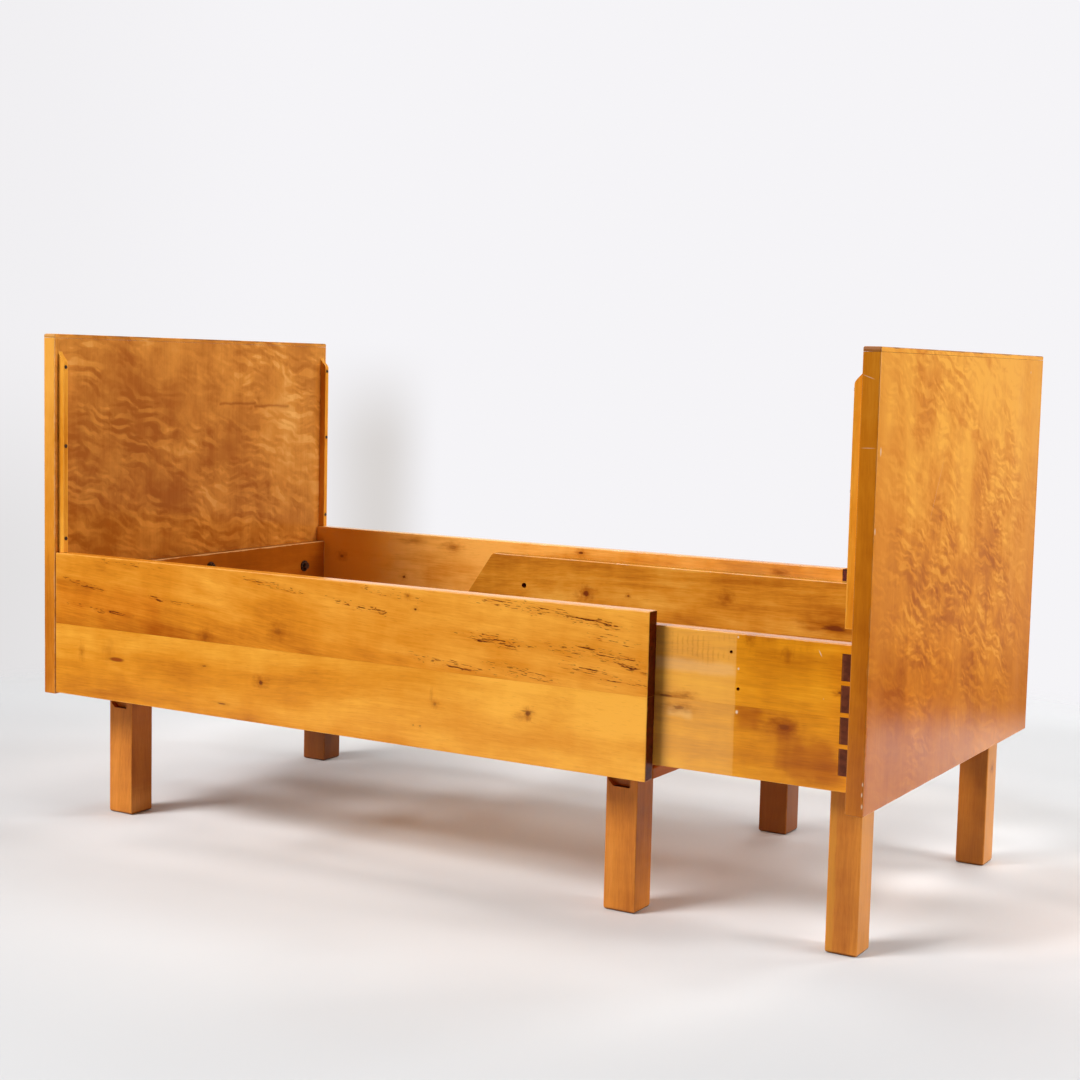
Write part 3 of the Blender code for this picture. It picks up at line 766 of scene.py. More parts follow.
    def lay_chatter(self, surface: WoodSurface, look: BoardLook, marks: Chatter) -> None:
        """Lay the upright marks of a plane in one part of the face.

        Args:
            surface: the material that is being made.
            look: what sets the board apart.
            marks: the marks.
        """
        graph = surface.graph
        along = graph.split(surface.face)[0]
        stir = graph.noise(surface.face, CHATTER_STIR)
        turns = along * (math.tau / marks.period) + stir * 5.0
        lines = graph.step(graph.combine("SINE", turns), 0.2, 0.9) * graph.step(stir, 0.42, 0.6)
        share = self.zone(surface, marks, CHATTER_SOFT) * lines * marks.weight
        surface.tint(self.one_side(surface, look.side, share), PORE, "MULTIPLY")

    def spread(self, surface: WoodSurface, lines: Sequence[Union[Streak, Scratch]]) -> Signal:
        """Return a mask that is high along several lines of the face.

        Args:
            surface: the material that is being made.
            lines: the lines.

        Returns:
            The mask.
        """
        graph = surface.graph
        total: Feed = 0.0
        for line in lines:
            run = line.end[0] - line.start[0]
            rise = line.end[1] - line.start[1]
            steep = abs(rise) > abs(run) * 4
            thin, long = 1.0 / line.width, 2.0 / math.hypot(run, rise)
            mask = graph.effect(
                self.effects.band,
                Vector=surface.face,
                Centre=((line.start[0] + line.end[0]) / 2, 0.0, (line.start[1] + line.end[1]) / 2),
                Reach=(thin, 0.0, long) if steep else (long, 0.0, thin),
                Slope=0.0 if steep else rise / run,
            )["Mask"]
            total = graph.combine("MAXIMUM", total, mask * line.weight)
        return total

    def lay_end_grain(self, surface: WoodSurface, plane: Plane, run: Run) -> None:
        """Darken the faces that cut across the grain.

        Args:
            surface: the material that is being made.
            plane: the plane of the board's broad face.
            run: how its grain runs.
        """
        graph = surface.graph
        level = (1.0, 0.0, 0.0) if plane is Plane.LENGTHWISE else (0.0, 1.0, 0.0)
        axis = (0.0, 0.0, 1.0) if run is Run.UPRIGHT else level
        mask = graph.step(graph.combine("ABSOLUTE", graph.facing(axis)), 0.75, 0.95)
        mottle = graph.step(graph.noise(surface.place, END_MOTTLE), 0.3, 0.7)
        surface.tint(mask, graph.blend(mottle, self.end, tuple(channel * 0.55 for channel in self.end)))

    def lay_wear(self, surface: WoodSurface, box: Box) -> None:
        """Tint the arrises, and scatter specks of dust. The arris tint is real rubbing on most boards, a
        painted highlight on the head cross rail and a painted dark reflection on the panels' top lippings.

        Args:
            surface: the material that is being made.
            box: lowest and highest corner of what the board's outer arrises belong to.
        """
        graph, place = surface.graph, surface.place
        low, high = (tuple(corner) for corner in box)
        edge = graph.effect(self.effects.wear, Vector=place, Low=low, High=high, Width=ARRIS_WIDTH)["Edge"]
        surface.tint(edge * self.worn, self.rubbed or self.pale)
        dust = graph.effect(self.effects.specks, Vector=place, Amount=SPECK_SHARE)["Mask"]
        surface.tint(dust * 0.6, CHIP)
        surface.rough = edge * self.worn_rough + surface.rough


@dataclass(frozen=True)
class VeneerFinish(WoodFinish):
    """Flame-figured veneer under the same varnish."""

    relief: float = 0.34
    blotch: float = 0.48

    def lay_wood(self, surface: WoodSurface, look: BoardLook, shade: Signal) -> None:
        """Lay the flame figure, its blotches and the upright fibre.

        Args:
            surface: the material that is being made.
            look: what sets the board apart.
            shade: the board's tone, from 0 for dark to 1 for light.
        """
        graph = surface.graph
        scaled = surface.face * (look.curl, look.curl, look.curl)
        parts = graph.effect(self.effects.flame, Vector=scaled, Seed=look.seed, Slope=look.slope)
        grain = graph.effect(self.effects.grain, Vector=surface.grain, Seed=look.seed)
        along, _, up = graph.split(surface.face)
        across = graph.combine("ABSOLUTE", along)
        lively = graph.step(across, look.heart * 0.6, look.heart * 1.3, 1.0, 0.25)
        lively = lively * graph.step(up, 0.22, 0.38, look.low_calm, 1.0)
        strength = (parts["Calm"] * 0.7 + 0.3) * lively * (self.relief * look.figure)
        shade = parts["Relief"] * strength + shade
        shade = (parts["Blotch"] - 0.5) * lively * (self.blotch * look.figure**0.5) + shade
        weights = ((parts["Fibre"], self.fibre), (grain["Cloud"], self.cloud), (grain["Rings"], self.rings))
        for value, weight in weights:
            shade = (value - 0.5) * weight + shade
        surface.colour = graph.ramp(shade, self.tones(look))
        surface.rough = grain["Cloud"] * 0.1 + (self.rough - 0.05)
        surface.height = grain["Cloud"] * 1.6 + parts["Fibre"] * 0.1


@dataclass(frozen=True)
class LippingFinish(VeneerFinish):
    """Veneer on the broad faces of a panel's lipping, and solid birch on its edge."""

    solid: Optional[WoodFinish] = None
    edge_tone: float = 0.0
    edge_rise: float = 0.0
    edge_hue: Colour = (1.0, 0.98, 1.2)
    edge_figure: float = 0.7
    end_soak: float = 0.0
    edge_marks: tuple[Scratch, ...] = ()

    def lay_wood(self, surface: WoodSurface, look: BoardLook, shade: Signal) -> None:
        """Lay the veneer, then the solid wood on the faces that look along the panel's plane.

        Args:
            surface: the material that is being made.
            look: what sets the panel apart.
            shade: the panel's tone, from 0 for dark to 1 for light.
        """
        graph = surface.graph
        super().lay_wood(surface, look, shade)
        veneer = surface.colour
        # The solid edge grows lighter towards the top by the edge rise: painted light.
        climb = graph.step(graph.split(surface.face)[2], 0.2, 0.76, -0.5, 0.5)
        edge_look = replace(look, hue=self.edge_hue, figure=self.edge_figure)
        self.solid.lay_wood(surface, edge_look, climb * self.edge_rise + (0.5 + self.edge_tone))
        if self.edge_marks:
            worn = self.spread(replace(surface, face=surface.place), self.edge_marks)
            surface.tint(worn * 0.8, CHIP)
        broad = graph.step(graph.combine("ABSOLUTE", graph.facing(Outlook.FOOTWARD.value)), 0.6, 0.8)
        surface.colour = graph.blend(broad, surface.colour, veneer)

    def lay_end_grain(self, surface: WoodSurface, plane: Plane, run: Run) -> None:
        """Darken and dull the ends where they show, on the lipping that caps the others.

        Args:
            surface: the material that is being made.
            plane: the plane of the lipping's broad face; not used.
            run: how its grain runs; not used.
        """
        if not self.end_soak:
            return
        graph = surface.graph
        facing = graph.combine("ABSOLUTE", graph.facing(Outlook.FRONTWARD.value))
        mask = graph.step(facing, 0.2, 0.5, 0.0, self.end_soak)
        surface.tint(mask, self.end)
        surface.rough = mask * 0.6 + surface.rough


@dataclass(frozen=True)
class DarkSteel:
    """Oxidised steel of the screws."""

    base: Colour = (0.05, 0.042, 0.036)
    rust: Colour = (0.14, 0.055, 0.025)

    def material(self, name: str) -> Material:
        """Make the steel, rusty and rougher in patches.

        Args:
            name: the material's name.

        Returns:
            The material.
        """
        material, graph, shader, place = blank_material(name)
        patch = graph.noise(place, STEEL_PATCHES)
        pits = graph.noise(place, STEEL_PITS)
        layers = {
            "Base Color": graph.blend(graph.step(patch, 0.45, 0.65), self.base, self.rust),
            "Metallic": graph.step(patch, 0.4, 0.7, 0.9, 0.35),
            "Roughness": patch * 0.5 + 0.2,
            "Normal": graph.make("Bump", {"Distance": STEEL_RELIEF, "Height": pits}, "Normal"),
        }
        graph.feed(shader, layers)
        return material


def merged_box(*nodes: str) -> Box:
    """Return the lowest and highest corner of several nodes together."""
    boxes = [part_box(node) for node in nodes]
    low = Vector(tuple(min(box[0][axis] for box in boxes) for axis in range(3)))
    high = Vector(tuple(max(box[1][axis] for box in boxes) for axis in range(3)))
    return low, high


def paint(node: Object, material: Material) -> None:
    """Give a node one material."""
    node.data.materials.clear()
    node.data.materials.append(material)


def set_down(shape: bmesh.types.BMesh, name: str) -> Object:
    """Turn a finished shape into an object of the scene.

    Args:
        shape: the shape, which is freed.
        name: the name of the object and of its mesh.

    Returns:
        The object.
    """
    mesh = bpy.data.meshes.new(name)
    shape.to_mesh(mesh)
    shape.free()
    piece = bpy.data.objects.new(name, mesh)
    bpy.context.scene.collection.objects.link(piece)
    return piece


@dataclass
class Dresser:
    """What every sub-assembly needs to dress its nodes."""

    nodes: dict[str, Object]
    amber: WoodFinish
    legs: WoodFinish
    cross: WoodFinish
    bare: WoodFinish
    veneer: VeneerFinish
    lipping: LippingFinish
    steel: DarkSteel

    def board(
        self,
        node: str,
        finish: WoodFinish,
        look: BoardLook,
        plane: Plane,
        run: Run,
        whole: Sequence[str] = (),
    ) -> None:
        """Dress one board.

        Args:
            node: the board's node.
            finish: the kind of wood.
            look: what sets the board apart.
            plane: the plane of its broad face.
            run: how its grain runs.
            whole: the nodes that share its outer arrises, where it is glued to others.
        """
        paint(self.nodes[node], finish.material(node, look, plane, run, merged_box(node, *whole)))
        LOG.info("dressed %s", node)


@dataclass
class EndPanel:
    """A veneered end panel with its lippings, laths and screws.

    The crown of a screw is given as shares of the head's radius and of its rise, and the slot as shares
    of the head's radius.
    """

    end: str
    body: str
    inward: float
    veneer_look: BoardLook
    seed: float
    # The edge rise lightens the solid edge towards the top: painted light.
    edge_tone: float = 0.0
    edge_rise: float = 0.0
    edge_hue: Colour = (1.0, 0.98, 1.2)
    rubbed: Colour = (1.0, 0.64, 0.32)
    edge_marks: tuple[Scratch, ...] = ()
    end_soak: float = 0.55
    lath_tone: float = -0.1
    screw_sides: int = 20
    crown: tuple[Place, ...] = ((0.0, 0.0), (0.45, 0.14), (0.8, 0.5), (1.0, 1.0))
    crown_rise: float = 0.5
    shank: float = 0.52
    slot_half: float = 0.16
    slot_floor: float = 0.04

    def parts(self) -> list[str]:
        """Return the panel's own nodes: the veneered board first, then the lippings."""
        lippings = [f"{self.end}_panel_{place}_lipping" for place in ("front", "rear", "top")]
        return [f"{self.end}_panel", *lippings]

    def dress(self, dresser: Dresser) -> None:
        """Dress the panel, its lippings and its laths, and build the laths' screws."""
        whole = self.parts()
        lipping = replace(
            dresser.lipping,
            edge_tone=self.edge_tone,
            edge_rise=self.edge_rise,
            edge_hue=self.edge_hue,
            edge_marks=self.edge_marks,
            worn=0.3,
            rubbed=self.rubbed,
        )
        # The top lipping's arrises get a dark brown tint: a painted dark reflection along the panel's top
        # edge.
        painted_dark_reflection = (0.22, 0.085, 0.02)
        capping = replace(lipping, worn=0.75, worn_rough=0.5, rubbed=painted_dark_reflection, end_soak=self.end_soak)
        for name, finish in zip(whole, (dresser.veneer, lipping, lipping, capping)):
            dresser.board(name, finish, self.veneer_look, Plane.CROSSWISE, Run.UPRIGHT, whole)
        for side in Side:
            look = BoardLook(self.seed + 5 + side.value, tone=self.lath_tone)
            dresser.board(f"{self.end}_{side.word}_lath", dresser.amber, look, Plane.LENGTHWISE, Run.UPRIGHT)
        for side in Side:
            for number in (1, 2, 3):
                self.build_screw(dresser, f"{self.end}_{side.word}_lath_screw_{number}")

    def build_screw(self, dresser: Dresser, node: str) -> None:
        """Model a slotted round-head screw in place of its plain solid.

        Args:
            dresser: the finishes.
            node: the plain solid's node.
        """
        low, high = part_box(node)
        tip, top = (low.x, high.x) if self.inward > 0 else (high.x, low.x)
        head = (high.z - low.z) / 2
        length = abs(top - tip)
        rise = head * self.crown_rise
        shape = bmesh.new()
        profile = [(head * out, length - rise * drop) for out, drop in self.crown]
        profile += [(head * self.shank, length - rise), (head * self.shank, head), (0.0, 0.0)]
        ring = [shape.verts.new((radius, 0.0, height)) for radius, height in profile]
        edges = [shape.edges.new(pair) for pair in zip(ring, ring[1:])]
        bmesh.ops.spin(
            shape,
            geom=ring + edges,
            cent=(0, 0, 0),
            axis=(0, 0, 1),
            angle=math.tau,
            steps=self.screw_sides,
            use_merge=True,
        )
        bmesh.ops.remove_doubles(shape, verts=shape.verts, dist=head * 0.01)
        bmesh.ops.recalc_face_normals(shape, faces=shape.faces)
        self.cut_slot(shape, head, length - rise)
        turn = Matrix.Rotation(self.inward * math.pi / 2, 4, "Y")
        move = Matrix.Translation((tip, (low.y + high.y) / 2, (low.z + high.z) / 2))
        bmesh.ops.transform(shape, matrix=move @ turn, verts=shape.verts)
        screw = set_down(shape, f"{node}_slotted")
        paint(screw, dresser.steel.material(f"{node}_steel"))
        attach(screw, self.body)
        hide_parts(node)
        LOG.info("built %s", screw.name)

    def cut_slot(self, shape: bmesh.types.BMesh, head: float, shoulder: float) -> None:
        """Sink a driver slot into the head of a screw that stands upright.

        Args:
            shape: the screw.
            head: the radius of its head.
            shoulder: the height at which the head meets the shank.
        """
        half = head * self.slot_half
        for place in (-half, half):
            everything = list(shape.verts) + list(shape.edges) + list(shape.faces)
            bmesh.ops.bisect_plane(shape, geom=everything, plane_co=(place, 0, 0), plane_no=(1, 0, 0))
        strip = [
            face for face in shape.faces if abs(face.calc_center_median().x) < half and face.normal.z > 0.2
        ]
        grown = bmesh.ops.extrude_face_region(shape, geom=strip)
        moved = [item for item in grown["geom"] if isinstance(item, bmesh.types.BMVert)]
        bmesh.ops.delete(shape, geom=strip, context="FACES_ONLY")
        for vertex in moved:
            vertex.co.z = shoulder + head * self.slot_floor


@dataclass
class SideRails:
    """A pair of side rails, each glued up from an upper and a lower board."""

    name: str
    body: str
    looks: dict[str, BoardLook]
    seam_end: float = 0.0015
    seam_face: float = 0.0002
    seam_play: float = 0.05

    def dress(self, dresser: Dresser) -> None:
        """Dress the four boards and fill their seams."""
        for side in Side:
            names = [f"{self.name}_{side.word}_rail_{board}_board" for board in ("upper", "lower")]
            for name in names:
                dresser.board(name, dresser.amber, self.looks[name], Plane.LENGTHWISE, Run.LEVEL, names)
            self.build_glue_line(side, names, dresser.nodes[names[0]].data.materials[0])

    def build_glue_line(self, side: Side, boards: Sequence[str], wood: Material) -> None:
        """Fill the hairline seam between a rail's two boards with glue that took the same colour as the wood.

        Args:
            side: the side of the bed that the rail is on.
            boards: the nodes of the upper and the lower board.
            wood: the upper board's material.
        """
        (low_upper, high_upper), (low_lower, high_lower) = (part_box(board) for board in boards)
        low = Vector((max(low_upper.x, low_lower.x), low_upper.y, high_lower.z))
        high = Vector((min(high_upper.x, high_lower.x), high_upper.y, low_upper.z))
        inset = Vector((self.seam_end, self.seam_face, (high.z - low.z) * self.seam_play))
        size = high - low - 2 * inset
        shape = bmesh.new()
        place = Matrix.Translation((low + high) / 2) @ Matrix.Diagonal((*size, 1.0))
        bmesh.ops.create_cube(shape, size=1.0, matrix=place)
        line = set_down(shape, f"{self.name}_{side.word}_rail_glue_line")
        paint(line, wood)
        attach(line, self.body)
        LOG.info("built %s", line.name)


@dataclass
class CrossPieces:
    """Rails, bearers, risers and battens that run across the bed, with the coach screws."""

    sat_on: tuple[str, ...]
    varnished: tuple[str, ...]
    bare: tuple[str, ...]
    screws: tuple[str, ...]

    def dress(self, dresser: Dresser) -> None:
        """Dress the boards and the screws."""
        # The pale arris along the top of the head cross rail is a painted highlight.
        rubbed = replace(dresser.cross, worn=0.75, rubbed=(0.86, 0.50, 0.20))
        for number, name in enumerate(self.sat_on + self.varnished):
            sat_on = name in self.sat_on
            look = BoardLook(21.0 + number, depth=0.84 if sat_on else 1.0)
            dresser.board(name, rubbed if sat_on else dresser.cross, look, Plane.CROSSWISE, Run.LEVEL)
        for number, name in enumerate(self.bare):
            dresser.board(name, dresser.bare, BoardLook(31.0 + number), Plane.CROSSWISE, Run.LEVEL)
        for name in self.screws:
            paint(dresser.nodes[name], dresser.steel.material(f"{name}_steel"))
            LOG.info("dressed %s", name)


@dataclass
class Legs:
    """The six square legs, some with marks and painted shade on the face that looks along the bed."""

    looks: dict[str, BoardLook]
    crosswise: tuple[str, ...] = ()

    def dress(self, dresser: Dresser) -> None:
        """Dress every leg with upright grain."""
        for name, look in self.looks.items():
            plane = Plane.CROSSWISE if name in self.crosswise else Plane.LENGTHWISE
            dresser.board(name, dresser.legs, look, plane, Run.UPRIGHT)


@dataclass
class Slats:
    """The bare slats of both frames."""

    names: tuple[str, ...]

    def dress(self, dresser: Dresser) -> None:
        """Dress every slat with grain along the bed."""
        for number, name in enumerate(self.names):
            dresser.board(name, dresser.bare, BoardLook(41.0 + number), Plane.LENGTHWISE, Run.LEVEL)


@dataclass(frozen=True)
class SoftBox:
    """A large soft lamp that hangs round the bed and is aimed at its middle."""

    name: str
    swing: float
    climb: float
    reach: float
    size: float
    power: float
    glints: bool = True
    aim: tuple[float, float, float] = (0.1, 0.0, 0.4)

    def build(self) -> None:
        """Hang the lamp at its swing from the bed's front, its climb and its reach."""
        lamp = bpy.data.lights.new(self.name, "AREA")
        lamp.size = self.size
        lamp.energy = self.power
        swing, climb = math.radians(self.swing), math.radians(self.climb)
        level = math.cos(climb)
        away = Vector((math.sin(swing) * level, -math.cos(swing) * level, math.sin(climb)))
        holder = bpy.data.objects.new(self.name, lamp)
        holder.location = Vector(self.aim) + away * self.reach
        holder.rotation_euler = (-away).to_track_quat("-Z", "Y").to_euler()
        holder.visible_camera = False
        holder.visible_glossy = self.glints
        bpy.context.scene.collection.objects.link(holder)


@dataclass(frozen=True)
class PaperPatch:
    """A soft oval of the studio floor painted lighter or darker than the rest: painted light where the
    bed's shadows fall, and painted shade.
    """

    at: Place
    radius: Place
    share: float
    colour: Colour


@dataclass
class Studio:
    """Floor, backdrop light, lamps and the camera."""

    camera_at: tuple[float, float, float] = (1.4422, -2.3942, 0.7246)
    camera_yaw: float = 30.734
    camera_pitch: float = -5.411
    camera_roll: float = 1.359
    lens: float = 60.9
    sensor: float = 36.0
    floor_radius: float = 1.9
    floor_sides: int = 96
    floor_fade: float = 1.5
    floor_middle: tuple[float, float, float] = (-0.05, 0.12, 0.0)
    floor_colour: Colour = (0.73, 0.73, 0.735)
    floor_far: Colour = (0.625, 0.63, 0.64)
    backdrop: Colour = (0.915, 0.905, 0.93)
    backdrop_dim: Colour = (0.76, 0.745, 0.75)
    backdrop_shade: Colour = (0.70, 0.67, 0.655)
    wall_glow: Colour = (0.52, 0.52, 0.52)
    room_dark: Colour = (0.03, 0.03, 0.03)
    room_grey: Colour = (0.15, 0.145, 0.145)
    lamps: tuple[SoftBox, ...] = ()
    patches: tuple[PaperPatch, ...] = ()

    def axes(self) -> tuple[Vector, Vector, Vector]:
        """Return the camera's right, up and forward directions."""
        angles = (self.camera_yaw, self.camera_pitch, self.camera_roll)
        yaw, pitch, roll = (math.radians(angle) for angle in angles)
        forward = Vector(
            (-math.sin(yaw) * math.cos(pitch), math.cos(yaw) * math.cos(pitch), math.sin(pitch))
        )
        level = Vector((math.cos(yaw), math.sin(yaw), 0.0))
        upward = level.cross(forward)
        right = math.cos(roll) * level + math.sin(roll) * upward
        up = math.cos(roll) * upward - math.sin(roll) * level
        return right, up, forward

    def build_camera(self) -> None:
        """Set the camera at the photograph's viewing angle."""
        data = bpy.data.cameras.new("photo_camera")
        data.lens = self.lens
        data.sensor_width = self.sensor
        holder = bpy.data.objects.new("photo_camera", data)
        right, up, forward = self.axes()
        turn = Matrix((right, up, -forward)).transposed().to_4x4()
        holder.matrix_world = Matrix.Translation(self.camera_at) @ turn
        bpy.context.scene.collection.objects.link(holder)
        bpy.context.scene.camera = holder

    def build_floor(self) -> None:
        """Lay a round pale floor that fades into the backdrop, with painted light and shade on it."""
        shape = bmesh.new()
        bmesh.ops.create_circle(shape, cap_ends=True, radius=self.floor_radius, segments=self.floor_sides)
        floor = set_down(shape, "studio_floor")
        material, graph, shader, place = blank_material("studio_paper")
        scuff = graph.step(graph.noise(place, PAPER_SCUFF), 0.4, 0.7)
        tone = graph.blend(scuff, self.floor_colour, tuple(channel * 0.97 for channel in self.floor_colour))
        away = graph.combine("LENGTH", place - self.floor_middle)
        # The floor darkens away from the bed: painted falloff of light.
        tone = graph.blend(graph.step(away, 0.7, 1.2), tone, self.floor_far)
        # Patches painted lighter in the bed's shadows and darker elsewhere: painted light and shade.
        for patch in self.patches:
            reach = (1.0 / patch.radius[0], 1.0 / patch.radius[1], 0.0)
            away = graph.combine("LENGTH", (place - (*patch.at, 0.0)) * reach)
            tone = graph.blend(graph.step(away, 0.35, 1.0, patch.share, 0.0), tone, patch.colour)
        graph.feed(shader, {"Base Color": tone, "Roughness": 0.75, "Specular IOR Level": 0.2})
        fade = graph.step(graph.combine("LENGTH", place), self.floor_fade, self.floor_radius)
        paper, clear = Signal(graph, shader.outputs[0]), graph.read("BsdfTransparent", "BSDF")
        mix = graph.make("MixShader", {0: fade, 1: paper, 2: clear})
        graph.feed(material.node_tree.nodes["Material Output"], {"Surface": mix})
        paint(floor, material)

    def build_world(self) -> None:
        """Light the room evenly, with the pale backdrop where the camera or a gloss sees it.
        The backdrop that the camera sees is painted dimmer low on the left, and carries a painted shadow of
        the head panel.
        """
        world = bpy.data.worlds.new("studio_room")
        bpy.context.scene.world = world
        world.use_nodes = True
        graph = Graph(world.node_tree)
        camera_ray = graph.read("LightPath", "Is Camera Ray")
        direction = graph.read("TexCoord", "Generated")
        right, _, forward = self.axes()
        ahead, beside = (Vector((way.x, way.y, 0.0)).normalized() for way in (forward, right))
        behind = graph.combine("DOT_PRODUCT", direction, tuple(ahead))
        aside = graph.combine("DOT_PRODUCT", direction, tuple(beside))
        height = graph.split(direction)[2]
        wall = graph.blend(graph.step(behind, 0.5, 0.9), BLACK, self.wall_glow)
        mirrored = graph.blend(graph.step(behind, -0.2, 0.35), self.room_dark, self.room_grey)
        skirting = graph.step(height, -0.165, -0.13, 1.0, 0.0) * 0.9
        mirrored = graph.blend(skirting, mirrored, self.room_dark)
        mirrored = graph.blend(graph.step(behind, 0.68, 0.86), mirrored, self.backdrop)
        light = graph.blend(camera_ray.sibling("Is Glossy Ray"), wall, mirrored)
        # The backdrop is painted dimmer low on the left: painted falloff of light.
        low_left = graph.step(aside, -0.3, -0.12, 1.0, 0.0) * graph.step(height, -0.12, 0.02, 1.0, 0.25)
        shown = graph.blend(low_left, self.backdrop, self.backdrop_dim)
        # A soft darker band on the backdrop beside the head panel: the panel's painted shadow.
        cast = graph.step(aside, -0.134, -0.086) * graph.step(aside, -0.086, -0.052, 1.0, 0.0)
        cast = cast * graph.step(height, -0.05, 0.016, 1.0, 0.0) * graph.step(height, -0.17, -0.11)
        shown = graph.blend(cast, shown, self.backdrop_shade)
        seen = graph.combine("MAXIMUM", camera_ray, camera_ray.sibling("Is Transmission Ray"))
        graph.feed(world.node_tree.nodes["Background"], {"Color": graph.blend(seen, light, shown)})

    def build(self) -> None:
        """Build the whole studio."""
        self.build_camera()
        self.build_floor()
        self.build_world()
        for lamp in self.lamps:
            lamp.build()
        bpy.context.scene.view_settings.view_transform = "Standard"
        LOG.info("built the studio")


def outer_rails() -> SideRails:
    """Return the outer rails with the marks of each board."""
    front_upper = BoardLook(
        1.3, tone=-0.09, tilt=-4.0, lean=0.22, rise=0.6, hue=(1.0, 0.98, 1.05),
        side=Outlook.FRONTWARD,
        stains=(Stain((-0.66, 0.322), (-0.44, 0.372), 0.02, 0.55, (0.84, 0.62, 0.4)),),
        knots=(
            Knot((-0.352, 0.315), 0.006, 1.0, 0.3, 0.6),
            Knot((-0.215, 0.336), 0.006, 1.3, 0.3, 0.5),
            Knot((0.025, 0.389), 0.0020, 1.5, 1.0, 0.4),
            Knot((0.012, 0.4065), 0.0025, 1.0, 0.4, 0.5),
        ),
        streaks=(
            Streak((-0.665, 0.385), (-0.530, 0.362), 0.006, 0.9),
            Streak((-0.500, 0.367), (-0.340, 0.357), 0.005, 0.9),
            Streak((-0.660, 0.343), (-0.460, 0.330), 0.006, 0.95),
            Streak((-0.600, 0.412), (-0.420, 0.408), 0.006, 0.75),
            Streak((-0.310, 0.410), (-0.140, 0.393), 0.008, 0.95),
            Streak((-0.160, 0.397), (0.020, 0.371), 0.008, 0.8),
            Streak((-0.120, 0.414), (0.080, 0.400), 0.010, 0.65),
            Streak((0.080, 0.413), (0.300, 0.402), 0.011, 0.85),
            Streak((0.200, 0.406), (0.390, 0.388), 0.010, 0.95),
            Streak((0.250, 0.400), (0.345, 0.391), 0.004, 1.15),
            Streak((0.060, 0.367), (0.260, 0.349), 0.012, 0.85),
            Streak((0.110, 0.361), (0.200, 0.353), 0.004, 1.1),
            Streak((0.200, 0.362), (0.330, 0.349), 0.011, 0.85),
            Streak((0.280, 0.381), (0.400, 0.370), 0.009, 0.8),
            Streak((-0.030, 0.328), (0.180, 0.312), 0.009, 0.9),
            Streak((0.100, 0.330), (0.290, 0.311), 0.011, 0.85),
            Streak((0.260, 0.368), (0.405, 0.342), 0.013, 0.9),
            Streak((0.310, 0.358), (0.405, 0.331), 0.008, 1.05),
            Streak((0.220, 0.340), (0.405, 0.320), 0.014, 0.7),
        ),
    )
    front_lower = BoardLook(
        2.1, tone=0.25, tilt=1.0, figure=0.9, lean=0.3, rise=0.35, hue=(1.0, 1.02, 1.0),
        knots=(
            Knot((-0.529, 0.2624), 0.0045, 4.2, 0.95, 0.1, 0.25, (0.30, 0.058, 0.005)),
            Knot((-0.545, 0.273), 0.007, 0.8, 0.0, 0.35),
            Knot((-0.602, 0.266), 0.006, 0.5, 0.15, 0.4),
            Knot((-0.245, 0.2576), 0.0042, 1.3, 0.9, 0.7),
            Knot((-0.320, 0.218), 0.0014, 7.0, 0.8, 0.4),
            Knot((-0.353, 0.2707), 0.0015, 3.0, 0.6, 0.3),
            Knot((0.060, 0.2613), 0.0030, 1.0, 0.4, 0.5),
            Knot((0.054, 0.2730), 0.0045, 0.3, 0.0, 0.35),
            Knot((0.209, 0.2655), 0.0036, 1.5, 0.7, 0.3),
            Knot((0.208, 0.2685), 0.0013, 10.0, 0.5, 0.0),
            Knot((0.209, 0.2635), 0.0042, 0.5, 0.0, 0.8),
            Knot((0.196, 0.2600), 0.0020, 2.0, 0.0, 0.5),
            Knot((0.0245, 0.2278), 0.0012, 1.0, 0.8, 0.2),
            Knot((0.0360, 0.2279), 0.0012, 1.0, 0.8, 0.2),
        ),
    )
    # The rear upper board is lightened at the head end by its lean and by the orange patch: painted light
    # where the head panel's shadow falls. The paler patch towards the foot end is a painted sheen.
    rear_upper = BoardLook(
        3.4, tone=0.2, lean=-0.7, figure=1.3, hue=(1.0, 1.14, 2.0),
        side=Outlook.FRONTWARD,
        knots=(
            Knot((-0.4576, 0.3381), 0.003, 1.4, 0.9, 0.4),
            Knot((-0.0892, 0.4088), 0.003, 1.6, 0.95, 0.7),
            Knot((-0.5986, 0.3662), 0.004, 1.2, 0.6, 0.6),
            Knot((-0.353, 0.400), 0.004, 2.6, 0.3, 0.65),
            Knot((-0.437, 0.406), 0.003, 4.0, 0.2, 0.55),
            Knot((0.280, 0.404), 0.003, 2.5, 0.3, 0.6),
        ),
        stains=(
            Stain((-0.70, 0.28), (-0.50, 0.43), 0.04, 0.8, (1.0, 0.46, 0.05), "MIX"),
            Stain((0.05, 0.28), (0.45, 0.43), 0.05, 0.3, (0.90, 0.50, 0.14), "MIX"),
        ),
    )
    looks = {
        "outer_front_rail_upper_board": front_upper,
        "outer_front_rail_lower_board": front_lower,
        "outer_rear_rail_upper_board": rear_upper,
        "outer_rear_rail_lower_board": BoardLook(4.2),
    }
    return SideRails("outer", "head_frame", looks)


